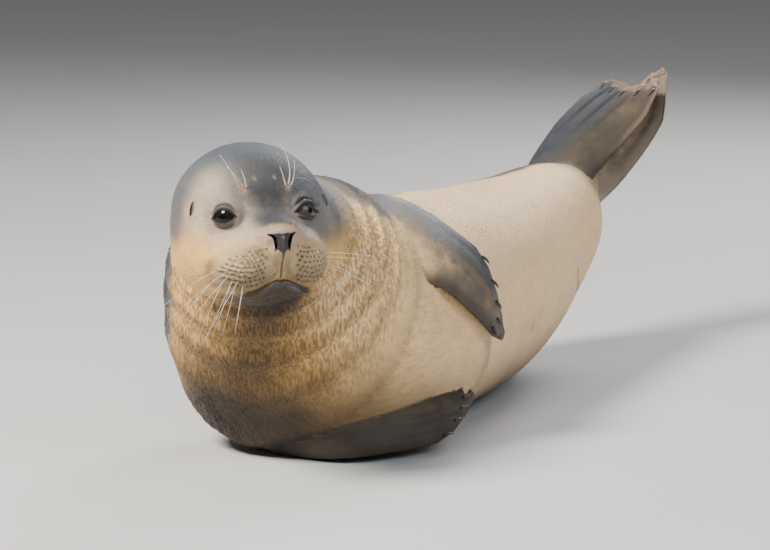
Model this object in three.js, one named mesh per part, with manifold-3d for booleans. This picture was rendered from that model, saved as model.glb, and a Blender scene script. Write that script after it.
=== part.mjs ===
// A harbour seal at life size, resting on its right side with its head and hind flippers raised.
// Millimetres, +Z up. The head faces -Y, the tail points to +Y, and the belly faces -Y and +X.
import * as THREE from "three";
import { mergeVertices } from "three/addons/utils/BufferGeometryUtils.js";
import Module from "manifold-3d";

const wasm = await Module();
wasm.setup();

const { sin, cos, PI, abs, max, min, hypot } = Math;
const vec = (x, y, z) => new THREE.Vector3(x, y, z);
const rad = THREE.MathUtils.degToRad;
const mix = THREE.MathUtils.lerp;
const ease = (x) => THREE.MathUtils.smoothstep(x, 0, 1);

// ---------------------------------------------------------------- driving sizes
const GAP = 0.3; // left between neighbouring solids
const EYE_SPACING = 97; // between the centres of the two eye openings
const EYE_RADIUS = 19;
const EYE_BULGE = 7; // how far the eyeball stands out of the head's plain surface
const NOSE_PAD = { at: [0, 74, -24], half: [19, 16, 13] };

const HEAD = { eyes: vec(-145, 7, 313), yaw: 25, pitch: 3, roll: -0.5 };

// The body's stations from skull to tail tip: centre, half width from the seal's left to its right,
// depth from the centre to its back and to its belly, and how far it is rolled onto its right side.
const STATIONS = [
  { name: "skull", at: [-150, 60, 292], side: 80, back: 76, belly: 76, roll: 2 },
  { name: "neck", at: [-134, 138, 242], side: 128, back: 116, belly: 122, roll: 24 },
  { name: "shoulders", at: [-104, 208, 160], side: 168, back: 154, belly: 154, roll: 48 },
  { name: "chest", at: [-20, 306, 142], side: 156, back: 150, belly: 148, roll: 62 },
  { name: "waist", at: [44, 432, 138], side: 146, back: 140, belly: 138, roll: 69 },
  { name: "belly", at: [98, 558, 136], side: 140, back: 132, belly: 132, roll: 73 },
  { name: "hips", at: [172, 698, 156], side: 120, back: 116, belly: 102, roll: 75 },
  { name: "rump", at: [230, 800, 200], side: 84, back: 76, belly: 78, roll: 76 },
  { name: "tail_base", at: [268, 858, 232], side: 42, back: 32, belly: 34, roll: 76 },
  { name: "tail_tip", at: [294, 900, 262], side: 18, back: 8, belly: 8, roll: 76 },
];
const CUTS = { head: 0.075, neck: 0.21, chest: 0.42, belly: 0.62, hips: 0.86, tail: 1 };

// Flippers: a line down the middle from inside the body to the tip, the way to the first digit's
// edge at both ends, widths and depths along it, how far each digit reaches, and its claws' length.
const FLIPPERS = [
  {
    name: "foreflipper_left",
    line: [[-62, 244, 256], [0, 206, 266], [70, 196, 234], [118, 236, 188], [152, 292, 132]],
    first: [[0.1, -0.7, -0.7], [-0.35, -0.55, -0.75]],
    width: [96, 96, 88, 80, 58],
    depth: [64, 46, 28, 20, 13],
    reach: [1, 0.98, 0.92, 0.84, 0.74],
    claw: 15,
    outer: -1,
  },
  {
    name: "foreflipper_right",
    line: [[-130, 176, 34], [-56, 134, 36], [14, 158, 38], [72, 206, 42], [120, 282, 42]],
    first: [[-0.2, 0.4, 0.9], [-0.45, 0.4, 0.8]],
    width: [72, 70, 68, 66, 50],
    depth: [48, 36, 26, 19, 12],
    reach: [1, 0.98, 0.92, 0.84, 0.74],
    claw: 15,
    outer: 1,
  },
  {
    name: "hindflipper_left",
    line: [[212, 799, 214], [250, 848, 263], [286, 882, 304], [322, 912, 339], [360, 942, 376]],
    first: [[0.7, -0.6, -0.3], [0.78, -0.62, 0.06]],
    width: [84, 106, 124, 128, 92],
    depth: [72, 50, 32, 21, 11],
    reach: [1, 0.96, 0.92, 0.93, 0.96],
    claw: 13,
    outer: -1,
  },
  {
    name: "hindflipper_right",
    line: [[222, 792, 196], [284, 878, 234], [322, 918, 276], [352, 950, 324], [372, 968, 394]],
    first: [[0.7, -0.6, -0.3], [0.78, -0.62, 0.06]],
    width: [64, 84, 100, 112, 82],
    depth: [56, 40, 28, 20, 11],
    reach: [1, 0.97, 0.9, 0.86, 0.85],
    claw: 13,
    outer: 1,
  },
];

// Rounded masses of the head: [to its left, forward, up] from the middle of the eyes, and half sizes.
// A mass off the middle is made on both sides.
const HEAD_MASSES = [
  { name: "braincase", at: [0, -32, -2], half: [86, 74, 81] },
  { name: "cheek", at: [34, -24, -44], half: [54, 62, 52] },
  { name: "muzzle", at: [0, 22, -28], half: [40, 50, 32] },
  { name: "whisker_pad", at: [33, 40, -54], half: [34, 35, 31] },
  { name: "nose", at: [0, 62, -20], half: [20, 17, 15] },
  { name: "chin", at: [0, 14, -74], half: [36, 42, 30] },
];
const HEAD_BLEND = 22; // how far the head's masses run into each other
const NECK_BLEND = 44; // how far the head runs into the neck
const HEAD_ENDS = 0.35; // share of the spine beyond which the head adds nothing

// ---------------------------------------------------------------- the head's own frame
function headFrame() {
  const y = rad(HEAD.yaw);
  const p = rad(HEAD.pitch);
  const forward = vec(sin(y) * cos(p), -cos(y) * cos(p), sin(p));
  const up = vec(-sin(y) * sin(p), cos(y) * sin(p), cos(p));
  const left = up.clone().cross(forward);
  const turn = new THREE.Quaternion().setFromAxisAngle(forward, rad(-HEAD.roll));
  left.applyQuaternion(turn);
  up.applyQuaternion(turn);
  return new THREE.Matrix4().makeBasis(left, forward, up).setPosition(HEAD.eyes);
}
const headToWorld = headFrame();
const worldToHead = headToWorld.clone().invert();
const onHead = (left, forward, up) => vec(left, forward, up).applyMatrix4(headToWorld);
const headForward = vec(0, 1, 0).transformDirection(headToWorld);

const bothSides = HEAD_MASSES.flatMap((m) =>
  m.at[0] ? [m, { ...m, at: [-m.at[0], m.at[1], m.at[2]] }] : [m],
);

function smoothMin(a, b, k) {
  const h = max(k - abs(a - b), 0) / k;
  return min(a, b) - (h * h * k) / 4;
}
const smoothMax = (a, b, k) => -smoothMin(-a, -b, k);

// About how far a point lies outside the head's blended masses; negative inside.
function headField(point) {
  const p = point.clone().applyMatrix4(worldToHead);
  let d = Infinity;
  for (const { at, half } of bothSides) {
    const q = [(p.x - at[0]) / half[0], (p.y - at[1]) / half[1], (p.z - at[2]) / half[2]];
    const reach = hypot(...q);
    const slope = hypot(q[0] / half[0], q[1] / half[1], q[2] / half[2]) || 1e-6;
    const own = (reach * (reach - 1)) / slope;
    d = d === Infinity ? own : smoothMin(d, own, HEAD_BLEND);
  }
  return d;
}

// How far along a ray from inside the head its surface lies, or 0 where the ray starts outside.
function headReach(from, direction) {
  const field = (t) => headField(from.clone().addScaledVector(direction, t));
  const step = 6;
  const accuracy = 0.002;
  let far = 0;
  while (field(far) < 0) far += step;
  if (far === 0) return 0;
  let near = far - step;
  while (far - near > accuracy) {
    const middle = (near + far) / 2;
    if (field(middle) < 0) near = middle;
    else far = middle;
  }
  return far;
}

// ---------------------------------------------------------------- the body's rays
const curve = (points) => new THREE.CatmullRomCurve3(points, false, "catmullrom", 0.5);
const spine = curve(STATIONS.map((s) => vec(...s.at)));
const sizes = curve(STATIONS.map((s) => vec(s.side, s.back, s.belly)));
const rolls = curve(STATIONS.map((s) => vec(s.roll, 0, 0)));

// Left and back directions of a section across the given axis, rolled to the seal's right.
function sectionFrame(axis, roll) {
  const left = vec(0, 0, 1).cross(axis).normalize().negate();
  const back = axis.clone().cross(left).normalize().negate();
  const turn = new THREE.Quaternion().setFromAxisAngle(axis, rad(-roll));
  return { left: left.applyQuaternion(turn), back: back.applyQuaternion(turn) };
}

// Half size of an oval section at an angle measured from the seal's left towards its back.
function ovalReach(size, angle) {
  const depth = sin(angle) > 0 ? size.y : size.z;
  return 1 / hypot(cos(angle) / size.x, sin(angle) / depth);
}

const CAP = 13; // rings over the face, before the spine starts
const RINGS = 33; // rings along the spine
const TAIL_CAP = 3; // rings that close the tail
const SIDES = 32;
const FACE_OVAL = 0.5; // share of the first oval that shapes the middle of the face
// The way the first ray leaves through the face.
const faceWay = vec(-0.14, 1, -0.18).transformDirection(headToWorld);

// The spine's direction, taken over a body's width so that neighbouring sections never cross.
const AXIS_SPAN = 0.13;
function spineAxis(t) {
  const [a, b] = [max(t - AXIS_SPAN, 0), min(t + AXIS_SPAN, 1)];
  return spine.getPoint(b).sub(spine.getPoint(a)).normalize();
}

// Ray families: the first fans out over the face, the last closes the tail.
function rayFan(i) {
  const start = spine.getPoint(0);
  const first = spineAxis(0);
  if (i < CAP) {
    const f = i / CAP;
    return {
      from: start,
      axis: first.clone().negate().lerp(faceWay, 1 - f ** 1.5).normalize().negate(),
      open: PI - (PI / 2) * f ** 1.25,
      t: 0,
    };
  }
  const t = min((i - CAP) / (RINGS - 1), 1);
  const over = max(i - CAP - RINGS + 1, 0) / TAIL_CAP;
  return { from: spine.getPoint(t), axis: spineAxis(t), open: (PI / 2) * (1 - over), t };
}

function bodySurface(grow) {
  const last = CAP + RINGS - 1 + TAIL_CAP;
  const rings = [];
  for (let i = 0; i <= last; i++) {
    const { from, axis, open, t } = rayFan(i);
    const { left, back } = sectionFrame(axis, rolls.getPoint(t).x);
    const size = sizes.getPoint(t);
    const pole = i === 0 || i === last;
    const ring = [];
    for (let j = 0; j < (pole ? 1 : SIDES); j++) {
      const angle = (2 * PI * j) / SIDES;
      const out = left.clone().multiplyScalar(cos(angle)).addScaledVector(back, sin(angle));
      const ray = axis.clone().multiplyScalar(cos(open)).addScaledVector(out, sin(open)).normalize();
      const oval = ovalReach(size, angle) * mix(FACE_OVAL, 1, min(i / CAP, 1));
      const head = t < HEAD_ENDS ? headReach(from, ray) : 0;
      const reach = smoothMax(oval, head, NECK_BLEND) + grow;
      const point = from.clone().addScaledVector(ray, reach);
      if (point.z < 0) point.addScaledVector(ray, -point.z / ray.z);
      ring.push(point);
    }
    rings.push(ring);
  }
  return closedSurface(rings);
}

// A closed surface over rings of points. A ring of one point is a pole; open ends are closed by a
// strip that joins opposite points.
function closedSurface(rings) {
  const points = rings.flat();
  const last = rings.length - 1;
  const starts = [0];
  for (const ring of rings) starts.push(starts.at(-1) + ring.length);
  const corner = (ring, place) => starts[ring] + (rings[ring].length === 1 ? 0 : place);
  const apart = (a, b) => points[a].distanceTo(points[b]);
  const faces = [];
  for (let i = 0; i < last; i++) {
    const sides = max(rings[i].length, rings[i + 1].length);
    for (let j = 0; j < sides; j++) {
      const next = (j + 1) % sides;
      const [a, b] = [corner(i, j), corner(i + 1, j)];
      const [c, d] = [corner(i + 1, next), corner(i, next)];
      // A four-sided face is cut along its shorter diagonal.
      if (a === d) faces.push(a, b, c);
      else if (b === c) faces.push(a, b, d);
      else if (apart(a, c) < apart(b, d)) faces.push(a, b, c, a, c, d);
      else faces.push(a, b, d, b, c, d);
    }
  }
  const strip = (start, sides, flip) => {
    for (let j = 0; j < sides / 2; j++) {
      const quad = [j, j + 1, sides - j - 1, (sides - j) % sides].map((place) => start + place);
      if (flip) quad.reverse();
      if (quad[1] !== quad[2]) faces.push(quad[0], quad[1], quad[2]);
      if (quad[3] !== quad[0]) faces.push(quad[0], quad[2], quad[3]);
    }
  };
  if (rings[0].length > 1) strip(starts[0], rings[0].length, false);
  if (rings[last].length > 1) strip(starts[last], rings[last].length, true);
  const surface = new THREE.BufferGeometry().setFromPoints(points);
  surface.setIndex(faces);
  return surface;
}

// ---------------------------------------------------------------- flippers
const ALONG = 11; // rings from root to tip
const ACROSS = 10; // two columns to a digit
const GROOVE = 0.25; // share of the thickness lost between the digits
const WEB_NOTCH = 0.025; // how far the webs stop short of the digits' tips

// A value from a list spread evenly over 0..1.
function along(list, t) {
  const at = t * (list.length - 1);
  const i = min(Math.floor(at), list.length - 2);
  return mix(list[i], list[i + 1], at - i);
}

function flipperShape(f) {
  const line = curve(f.line.map((p) => vec(...p)));
  const ends = f.first.map((d) => vec(...d).normalize());
  // Digit tips stand proud of the webs between them.
  const reachAt = (k) => {
    const fromFirst = ACROSS - k;
    if (fromFirst % 2) return f.reach[(fromFirst - 1) / 2];
    const near = f.reach[max(fromFirst / 2 - 1, 0)];
    const next = f.reach[min(fromFirst / 2, 4)];
    return (near + next) / 2 - (k % ACROSS ? WEB_NOTCH : WEB_NOTCH / 2);
  };
  const frame = (t) => {
    const way = line.getTangent(t);
    const first = ends[0].clone().lerp(ends[1], t);
    first.addScaledVector(way, -first.dot(way)).normalize();
    const out = way.clone().cross(first).multiplyScalar(f.outer);
    return { centre: line.getPoint(t), way, first, out };
  };
  // A point on the flipper: sigma from root to digit tip, column k, and side +1 outer or -1 palm.
  const at = (sigma, k, side, grow = 0) => {
    const u = (2 * k) / ACROSS - 1;
    const t = sigma * mix(1, reachAt(k), sigma);
    const { centre, first, out } = frame(t);
    const wide = along(f.width, t) / 2 + grow;
    const tipRound = (1 - sigma ** 8) ** 0.5;
    const groove = k % 2 || abs(u) === 1 ? 1 : 1 - GROOVE * ease(sigma * 1.6 - 0.5);
    const edge = (1 - abs(u) ** mix(2, 3, sigma)) ** 0.5;
    const deep = (along(f.depth, t) / 2) * edge * groove * max(tipRound, 0.3) + (edge ? grow : 0);
    return centre.clone().addScaledVector(first, wide * u).addScaledVector(out, side * deep);
  };
  return { at, frame, reachAt };
}

function flipperSurface(f, grow) {
  const { at } = flipperShape(f);
  const rings = [];
  for (let i = 0; i <= ALONG; i++) {
    const sigma = 1 - (1 - i / ALONG) ** 1.4;
    const ring = [];
    for (let k = ACROSS; k >= 0; k--) ring.push(at(sigma, k, -f.outer, grow));
    for (let k = 1; k < ACROSS; k++) ring.push(at(sigma, k, f.outer, grow));
    for (const point of ring) point.z = max(point.z, 0);
    rings.push(ring);
  }
  return closedSurface(rings);
}

// A claw: a tapering, down-curved horn that starts on a digit's back and passes its tip.
const CLAW_SIDES = 6;
const CLAW_RINGS = 3;
const CLAW_START = 0.9; // how far along its digit a claw grows
const CLAW_WIDTH = 0.34; // of its length
function clawSurface(f, digit) {
  const { at, frame } = flipperShape(f);
  const base = at(CLAW_START, ACROSS - 1 - 2 * digit, 1);
  const { way, first, out } = frame(CLAW_START * f.reach[digit]);
  const rings = [];
  for (let i = 0; i <= CLAW_RINGS; i++) {
    const s = i / CLAW_RINGS;
    const centre = base.clone().addScaledVector(way, f.claw * s);
    centre.addScaledVector(out, f.claw * (0.16 * s - 0.26 * s * s));
    const size = (CLAW_WIDTH / 2) * f.claw * (1 - s * s) ** 0.5;
    const ring = [];
    for (let j = 0; j < (s === 1 ? 1 : CLAW_SIDES); j++) {
      const angle = (2 * PI * j) / CLAW_SIDES;
      const p = centre.clone().addScaledVector(first, -size * cos(angle) * f.outer);
      ring.push(p.addScaledVector(out, size * sin(angle)));
    }
    rings.push(ring);
  }
  return closedSurface(rings);
}

// ---------------------------------------------------------------- solids
function solid(geometry) {
  const g = geometry.clone();
  g.deleteAttribute("normal");
  g.deleteAttribute("uv");
  const m = mergeVertices(g, 1e-4);
  return new wasm.Manifold(
    new wasm.Mesh({
      numProp: 3,
      vertProperties: new Float32Array(m.attributes.position.array),
      triVerts: new Uint32Array(m.index.array),
    }),
  );
}

function mesh(name, shape, material) {
  const m = shape.getMesh();
  const g = new THREE.BufferGeometry();
  g.setAttribute("position", new THREE.Float32BufferAttribute(m.vertProperties, 3));
  g.setIndex(new THREE.Uint32BufferAttribute(m.triVerts, 1));
  const made = new THREE.Mesh(g, material);
  made.name = name;
  return made;
}

function ellipsoid(centre, half, turn, segments) {
  const g = new THREE.SphereGeometry(1, segments, segments / 2);
  g.scale(...half);
  g.applyQuaternion(turn);
  g.translate(centre.x, centre.y, centre.z);
  return solid(g);
}

// ---------------------------------------------------------------- materials
const material = (name, color, roughness) =>
  new THREE.MeshStandardMaterial({ name, color, roughness, metalness: 0 });
const furMaterial = () => material("fur", 0xb59a74, 0.6);
const flipperMaterial = () => material("flipper_fur", 0x55504c, 0.5);
const noseMaterial = () => material("nose_leather", 0x1d1b1c, 0.5);
const eyeMaterial = () => material("eye", 0x0b0a0a, 0.05);
const clawMaterial = () => material("claw", 0x2a2624, 0.4);

// ---------------------------------------------------------------- assembly
const seal = new THREE.Group();
seal.name = "harbor_seal";
const headTurn = new THREE.Quaternion().setFromRotationMatrix(headToWorld);

// Where the head's surface lies in front of a place between the eyes' level and the muzzle.
function onFace(left, up) {
  const from = onHead(left, -60, up);
  return from.addScaledVector(headForward, headReach(from, headForward));
}

const eyes = [1, -1].map((side) => {
  const way = onHead(side * 0.62, 0.78, 0.06).sub(onHead(0, 0, 0)).normalize();
  const at = onFace((side * EYE_SPACING) / 2, 0).addScaledVector(way, EYE_BULGE - EYE_RADIUS);
  return { name: side > 0 ? "eye_left" : "eye_right", at };
});
const ball = (e, grow) => ellipsoid(e.at, Array(3).fill(EYE_RADIUS + grow), headTurn, 18);
const nosePad = (grow) =>
  ellipsoid(onHead(...NOSE_PAD.at), NOSE_PAD.half.map((h) => h + grow), headTurn, 12);

let body = solid(bodySurface(0));
const grownBody = solid(bodySurface(2 * GAP));
for (const e of eyes) {
  seal.add(mesh(e.name, ball(e, 0), eyeMaterial()));
  body = body.subtract(ball(e, GAP));
}
seal.add(mesh("nose", body.intersect(nosePad(0)), noseMaterial()));
body = body.subtract(nosePad(GAP));

for (const [name, t] of Object.entries(CUTS)) {
  const axis = spineAxis(t).toArray();
  const level = vec(...axis).dot(spine.getPoint(t));
  const back = axis.map((a) => -a);
  const piece = t < 1 ? body.trimByPlane(back, -level + GAP / 2) : body;
  seal.add(mesh(name, piece, furMaterial()));
  if (t < 1) body = body.trimByPlane(axis, level + GAP / 2);
}

for (const f of FLIPPERS) {
  const shape = solid(flipperSurface(f, 0)).subtract(grownBody);
  seal.add(mesh(f.name, shape, flipperMaterial()));
  const grown = solid(flipperSurface(f, GAP)).add(grownBody);
  for (let digit = 0; digit < 5; digit++) {
    const claw = solid(clawSurface(f, digit)).subtract(grown);
    seal.add(mesh(`claw_${f.name.replace("flipper", "")}_${digit + 1}`, claw, clawMaterial()));
  }
}

const bounds = new THREE.Box3().setFromObject(seal);
const middle = bounds.getCenter(vec(0, 0, 0));
seal.position.set(-middle.x, -middle.y, -bounds.min.z);

export default seal;
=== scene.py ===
"""Harbour seal at life size, lying on its right side with its head and hind flippers raised.

Lengths are in millimetres until a mesh is made. The row's frame is X right, Y away, Z up.
"""

import functools
import itertools
import math

import bpy
import numpy as np
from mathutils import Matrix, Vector
from mathutils.kdtree import KDTree


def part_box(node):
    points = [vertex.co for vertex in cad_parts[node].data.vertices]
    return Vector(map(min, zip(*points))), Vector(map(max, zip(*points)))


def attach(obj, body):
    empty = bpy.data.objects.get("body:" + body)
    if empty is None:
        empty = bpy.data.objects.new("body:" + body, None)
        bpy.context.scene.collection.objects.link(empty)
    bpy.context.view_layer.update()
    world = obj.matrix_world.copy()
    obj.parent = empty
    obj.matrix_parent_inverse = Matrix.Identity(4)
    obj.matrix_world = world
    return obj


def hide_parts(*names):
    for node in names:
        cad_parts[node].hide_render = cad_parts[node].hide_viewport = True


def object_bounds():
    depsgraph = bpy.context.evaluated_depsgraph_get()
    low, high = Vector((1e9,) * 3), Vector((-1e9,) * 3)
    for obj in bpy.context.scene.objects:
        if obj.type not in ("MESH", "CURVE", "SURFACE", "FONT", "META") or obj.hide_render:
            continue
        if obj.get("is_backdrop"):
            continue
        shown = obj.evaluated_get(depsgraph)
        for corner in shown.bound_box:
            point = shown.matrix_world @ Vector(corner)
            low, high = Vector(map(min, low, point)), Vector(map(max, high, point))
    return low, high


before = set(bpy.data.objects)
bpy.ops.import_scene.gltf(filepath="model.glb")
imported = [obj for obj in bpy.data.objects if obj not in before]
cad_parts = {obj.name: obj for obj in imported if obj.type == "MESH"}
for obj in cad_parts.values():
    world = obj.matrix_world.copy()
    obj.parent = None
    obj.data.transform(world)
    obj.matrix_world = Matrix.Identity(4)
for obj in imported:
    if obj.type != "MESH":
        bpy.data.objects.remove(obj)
cad_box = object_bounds()

bl_info = {
    "name": "Harbour seal",
    "version": (1, 0, 0),
    "blender": (4, 5, 0),
    "location": "3D View > Sidebar > Seal",
    "description": "Dresses the solids of a harbour seal with skin, coat, eyes, whiskers and claws",
    "category": "Add Mesh",
}

METRES = 0.001

# ------------------------------------------------------------------ driving sizes
# The body's stations from skull to tail tip, as the solids have them: centre, half width to the
# seal's left and right, depth to its back and to its belly, and roll onto its right side in degrees.
STATIONS = {
    "skull": ((-150, 60, 292), 80, 76, 76, 2),
    "neck": ((-134, 138, 242), 128, 116, 122, 24),
    "shoulders": ((-104, 208, 160), 168, 154, 154, 48),
    "chest": ((-20, 306, 142), 156, 150, 148, 62),
    "waist": ((44, 432, 138), 146, 140, 138, 69),
    "belly": ((98, 558, 136), 140, 132, 132, 73),
    "hips": ((172, 698, 156), 120, 116, 102, 75),
    "rump": ((230, 800, 200), 84, 76, 78, 76),
    "tail_base": ((268, 858, 232), 42, 32, 34, 76),
    "tail_tip": ((294, 900, 262), 18, 8, 8, 76),
}
SPINE = np.array([s[0] for s in STATIONS.values()], float)
OVALS = np.array([s[1:4] for s in STATIONS.values()], float)
ROLLS = np.array([s[4:5] for s in STATIONS.values()], float)

# Rounded masses of the head: place to its left, forward and up from between the eyes, half sizes.
HEAD_MASSES = {
    "braincase": ((0, -32, -2), (86, 74, 81)),
    "cheek": ((34, -24, -44), (54, 62, 52)),
    "muzzle": ((0, 22, -28), (40, 50, 32)),
    "whisker_pad": ((33, 40, -54), (34, 35, 31)),
    "nose": ((0, 62, -20), (20, 17, 15)),
    "chin": ((0, 14, -74), (36, 42, 30)),
}
HEAD_AT = np.array((-145, 7, 313), float)
HEAD_YAW, HEAD_PITCH, HEAD_ROLL = (math.radians(a) for a in (25, 3, -0.5))
# The way out of the skull to the middle of the face's rings, to the head's left, forward and up.
FACE_WAY = (-0.14, 1, -0.18)
# How softly the head's masses run into each other and the head into the neck.
HEAD_BLEND, NECK_BLEND = 22, 44
# The share of the spine that may still meet the head, and how small the skull's oval is in the face.
HEAD_ENDS, FACE_OVAL = 0.35, 0.5
# The span of the spine over which its direction is taken.
AXIS_SPAN = 0.13
FACE_RINGS, SPINE_RINGS, TAIL_RINGS = 13, 32, 3
# The body's mean radius, for places round it.
GIRTH_RADIUS = 100

# Flippers: a line down the middle, the way to the first digit's edge at both ends, widths and
# depths along it, how far each digit reaches, the claws' length and the side that shows its back.
FORE_REACH = (1, 0.98, 0.92, 0.84, 0.74)
LEFT_HIND_REACH = (1, 0.96, 0.92, 0.93, 0.96)
RIGHT_HIND_REACH = (1, 0.97, 0.9, 0.86, 0.85)
FLIPPERS = {
    "foreflipper_left": {
        "line": ((-62, 244, 256), (0, 206, 266), (70, 196, 234), (118, 236, 188), (152, 292, 132)),
        "first": ((0.1, -0.7, -0.7), (-0.35, -0.55, -0.75)),
        "width": (96, 96, 88, 80, 58),
        "depth": (64, 46, 28, 20, 13),
        "reach": FORE_REACH,
        "claw": 15,
        "outer": -1,
    },
    "foreflipper_right": {
        "line": ((-130, 176, 34), (-56, 134, 36), (14, 158, 38), (72, 206, 42), (120, 282, 42)),
        "first": ((-0.2, 0.4, 0.9), (-0.45, 0.4, 0.8)),
        "width": (72, 70, 68, 66, 50),
        "depth": (48, 36, 26, 19, 12),
        "reach": FORE_REACH,
        "claw": 15,
        "outer": 1,
    },
    "hindflipper_left": {
        "line": ((212, 799, 214), (250, 848, 263), (286, 882, 304), (322, 912, 339), (360, 942, 376)),
        "first": ((0.7, -0.6, -0.3), (0.78, -0.62, 0.06)),
        "width": (84, 106, 124, 128, 92),
        "depth": (72, 50, 32, 21, 11),
        "reach": LEFT_HIND_REACH,
        "claw": 13,
        "outer": -1,
    },
    "hindflipper_right": {
        "line": ((222, 792, 196), (284, 878, 234), (322, 918, 276), (352, 950, 324), (372, 968, 394)),
        "first": ((0.7, -0.6, -0.3), (0.78, -0.62, 0.06)),
        "width": (64, 84, 100, 112, 82),
        "depth": (56, 40, 28, 20, 11),
        "reach": RIGHT_HIND_REACH,
        "claw": 13,
        "outer": 1,
    },
}
DIGITS = 5
# For each kind of flipper: the depth of the grooves between its digits, how far its webs fall back,
# how far its corners are rounded off, and how much shorter its first digit is.
LIMBS = {
    "fore": {"groove": 0.12, "notch": 0.00625, "rounding": 0.09, "shorter": 0.02},
    "hind": {"groove": 0.3, "notch": 0.025, "rounding": 0.025, "shorter": 0},
}

# ------------------------------------------------------------------ small mathematics
UP = np.array((0.0, 0.0, 1.0))


def unit(v):
    return v / np.maximum(np.linalg.norm(v, axis=-1, keepdims=True), 1e-9)


def mix(a, b, share):
    return a + (b - a) * share


def ease(low, high, x):
    """0 below low, 1 above high, and a smooth step between."""
    share = np.clip((x - low) / (high - low), 0, 1)
    return share * share * (3 - 2 * share)


def hump(x, width):
    """1 at zero, falling to nothing at about two and a half widths."""
    return np.exp(-((x / width) ** 2))


def turned(v, axis, angle):
    """v turned about the unit axis by the angle."""
    c, s = np.cos(angle), np.sin(angle)
    along = np.sum(v * axis, axis=-1, keepdims=True) * axis
    return v * c + np.cross(axis, v) * s + along * (1 - c)


def smooth_min(a, b, blend):
    h = np.maximum(blend - np.abs(a - b), 0) / blend
    return np.minimum(a, b) - h * h * blend / 4


def smooth_max(a, b, blend):
    return -smooth_min(-a, -b, blend)


def curve(rows, t):
    """Points at t, from 0 to 1, of the smooth curve through evenly spread rows."""
    rows = np.asarray(rows, float)
    ends = np.vstack([2 * rows[0] - rows[1], rows, 2 * rows[-1] - rows[-2]])
    at = np.clip(t, 0, 1) * (len(rows) - 1)
    i = np.minimum(at.astype(int), len(rows) - 2)
    w = (at - i)[..., None]
    a, b, c, d = (ends[i + k] for k in range(4))
    leave, arrive = (c - a) / 2, (d - b) / 2
    cubic = 2 * b - 2 * c + leave + arrive
    square = -3 * b + 3 * c - 2 * leave - arrive
    return ((cubic * w + square) * w + leave) * w + b


def noise(points, size, seed=0):
    """Smooth noise from about -1 to 1, with lumps about size across; size may be one per axis."""
    table = np.random.default_rng(seed).uniform(-1, 1, 4096)
    scaled = points / size
    cell = np.floor(scaled).astype(np.int64)
    w = scaled - cell
    w = w * w * (3 - 2 * w)
    total = 0
    for corner in itertools.product((0, 1), repeat=points.shape[-1]):
        key = np.zeros(points.shape[:-1], np.int64)
        weight = 1
        for axis, (end, prime) in enumerate(zip(corner, (73856093, 19349663, 83492791))):
            key ^= (cell[..., axis] + end) * prime
            weight = weight * (w[..., axis] if end else 1 - w[..., axis])
        total = total + table[key & 4095] * weight
    return total


# ------------------------------------------------------------------ the head's own frame
def head_axes():
    """The head's left, forward and up directions as rows."""
    level = np.array((math.sin(HEAD_YAW), -math.cos(HEAD_YAW), 0))
    forward = level * math.cos(HEAD_PITCH) + UP * math.sin(HEAD_PITCH)
    up = UP * math.cos(HEAD_PITCH) - level * math.sin(HEAD_PITCH)
    left = np.cross(up, forward)
    return np.array([turned(left, forward, -HEAD_ROLL), forward, turned(up, forward, -HEAD_ROLL)])


HEAD_AXES = head_axes()


def on_head(place):
    """A place given to the head's left, forward and up, in the body's coordinates."""
    return HEAD_AT + np.asarray(place, float) @ HEAD_AXES


def in_head(points):
    return (points - HEAD_AT) @ HEAD_AXES.T


def head_field(points):
    """About how far points lie outside the head's blended masses; negative inside."""
    local = in_head(points)
    outside = None
    for at, half in HEAD_MASSES.values():
        for side in (1, -1) if at[0] else (1,):
            q = (local - np.multiply(at, (side, 1, 1))) / half
            reach = np.linalg.norm(q, axis=-1)
            slope = np.maximum(np.linalg.norm(q / half, axis=-1), 1e-6)
            own = reach * (reach - 1) / slope
            outside = own if outside is None else smooth_min(outside, own, HEAD_BLEND)
    return outside


def head_reach(start, way):
    """How far along rays from inside the head its surface lies, or 0 for a start outside."""
    step, halvings = 6, 12
    far = np.zeros(len(start))
    live = np.arange(len(start))
    while len(live):
        inside = head_field(start[live] + way[live] * far[live, None]) < 0
        live = live[inside]
        far[live] += step
    near = np.maximum(far - step, 0)
    for _ in range(halvings):
        middle = (near + far) / 2
        inside = head_field(start + way * middle[:, None]) < 0
        near = np.where(inside, middle, near)
        far = np.where(inside, far, middle)
    return far


# ------------------------------------------------------------------ eyes' places
EYE_SPACING = 97
# How far the eyeball stands out of the socket, along a way given to its side, forward and up.
EYE_BULGE = 7
SOCKET_WAY = (0.62, 0.78, 0.06)

EYE_LOW, EYE_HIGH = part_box("eye_left")
EYE_RADIUS = max(EYE_HIGH - EYE_LOW) / METRES / 2


def eye_centre(side):
    """Centre of the eyeball; side is 1 for the seal's left."""
    way = unit(np.multiply(SOCKET_WAY, (side, 1, 1)) @ HEAD_AXES)
    start = on_head((side * EYE_SPACING / 2, -60, 0))
    lid = start + HEAD_AXES[1] * head_reach(start[None], HEAD_AXES[1][None])[0]
    return lid + way * (EYE_BULGE - EYE_RADIUS)


EYES = {side: eye_centre(side) for side in (1, -1)}

# The row's frame is the body's, moved so that the eyeball falls on its solid.
TO_ROW = np.array((EYE_LOW + EYE_HIGH) / 2) / METRES - EYES[1]


# ------------------------------------------------------------------ the plain body
def spine_axis(t):
    return unit(curve(SPINE, t + AXIS_SPAN) - curve(SPINE, t - AXIS_SPAN))


def spine_place(q):
    """How far along the spine rings q lie, from 0 at the skull to 1 at the tail's tip."""
    return np.clip((q - FACE_RINGS) / SPINE_RINGS, 0, 1)


def body_angle(share):
    """The angle from the body's left towards its back at a share of the way round it."""
    return math.pi * (1 + 2 * share)


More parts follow.
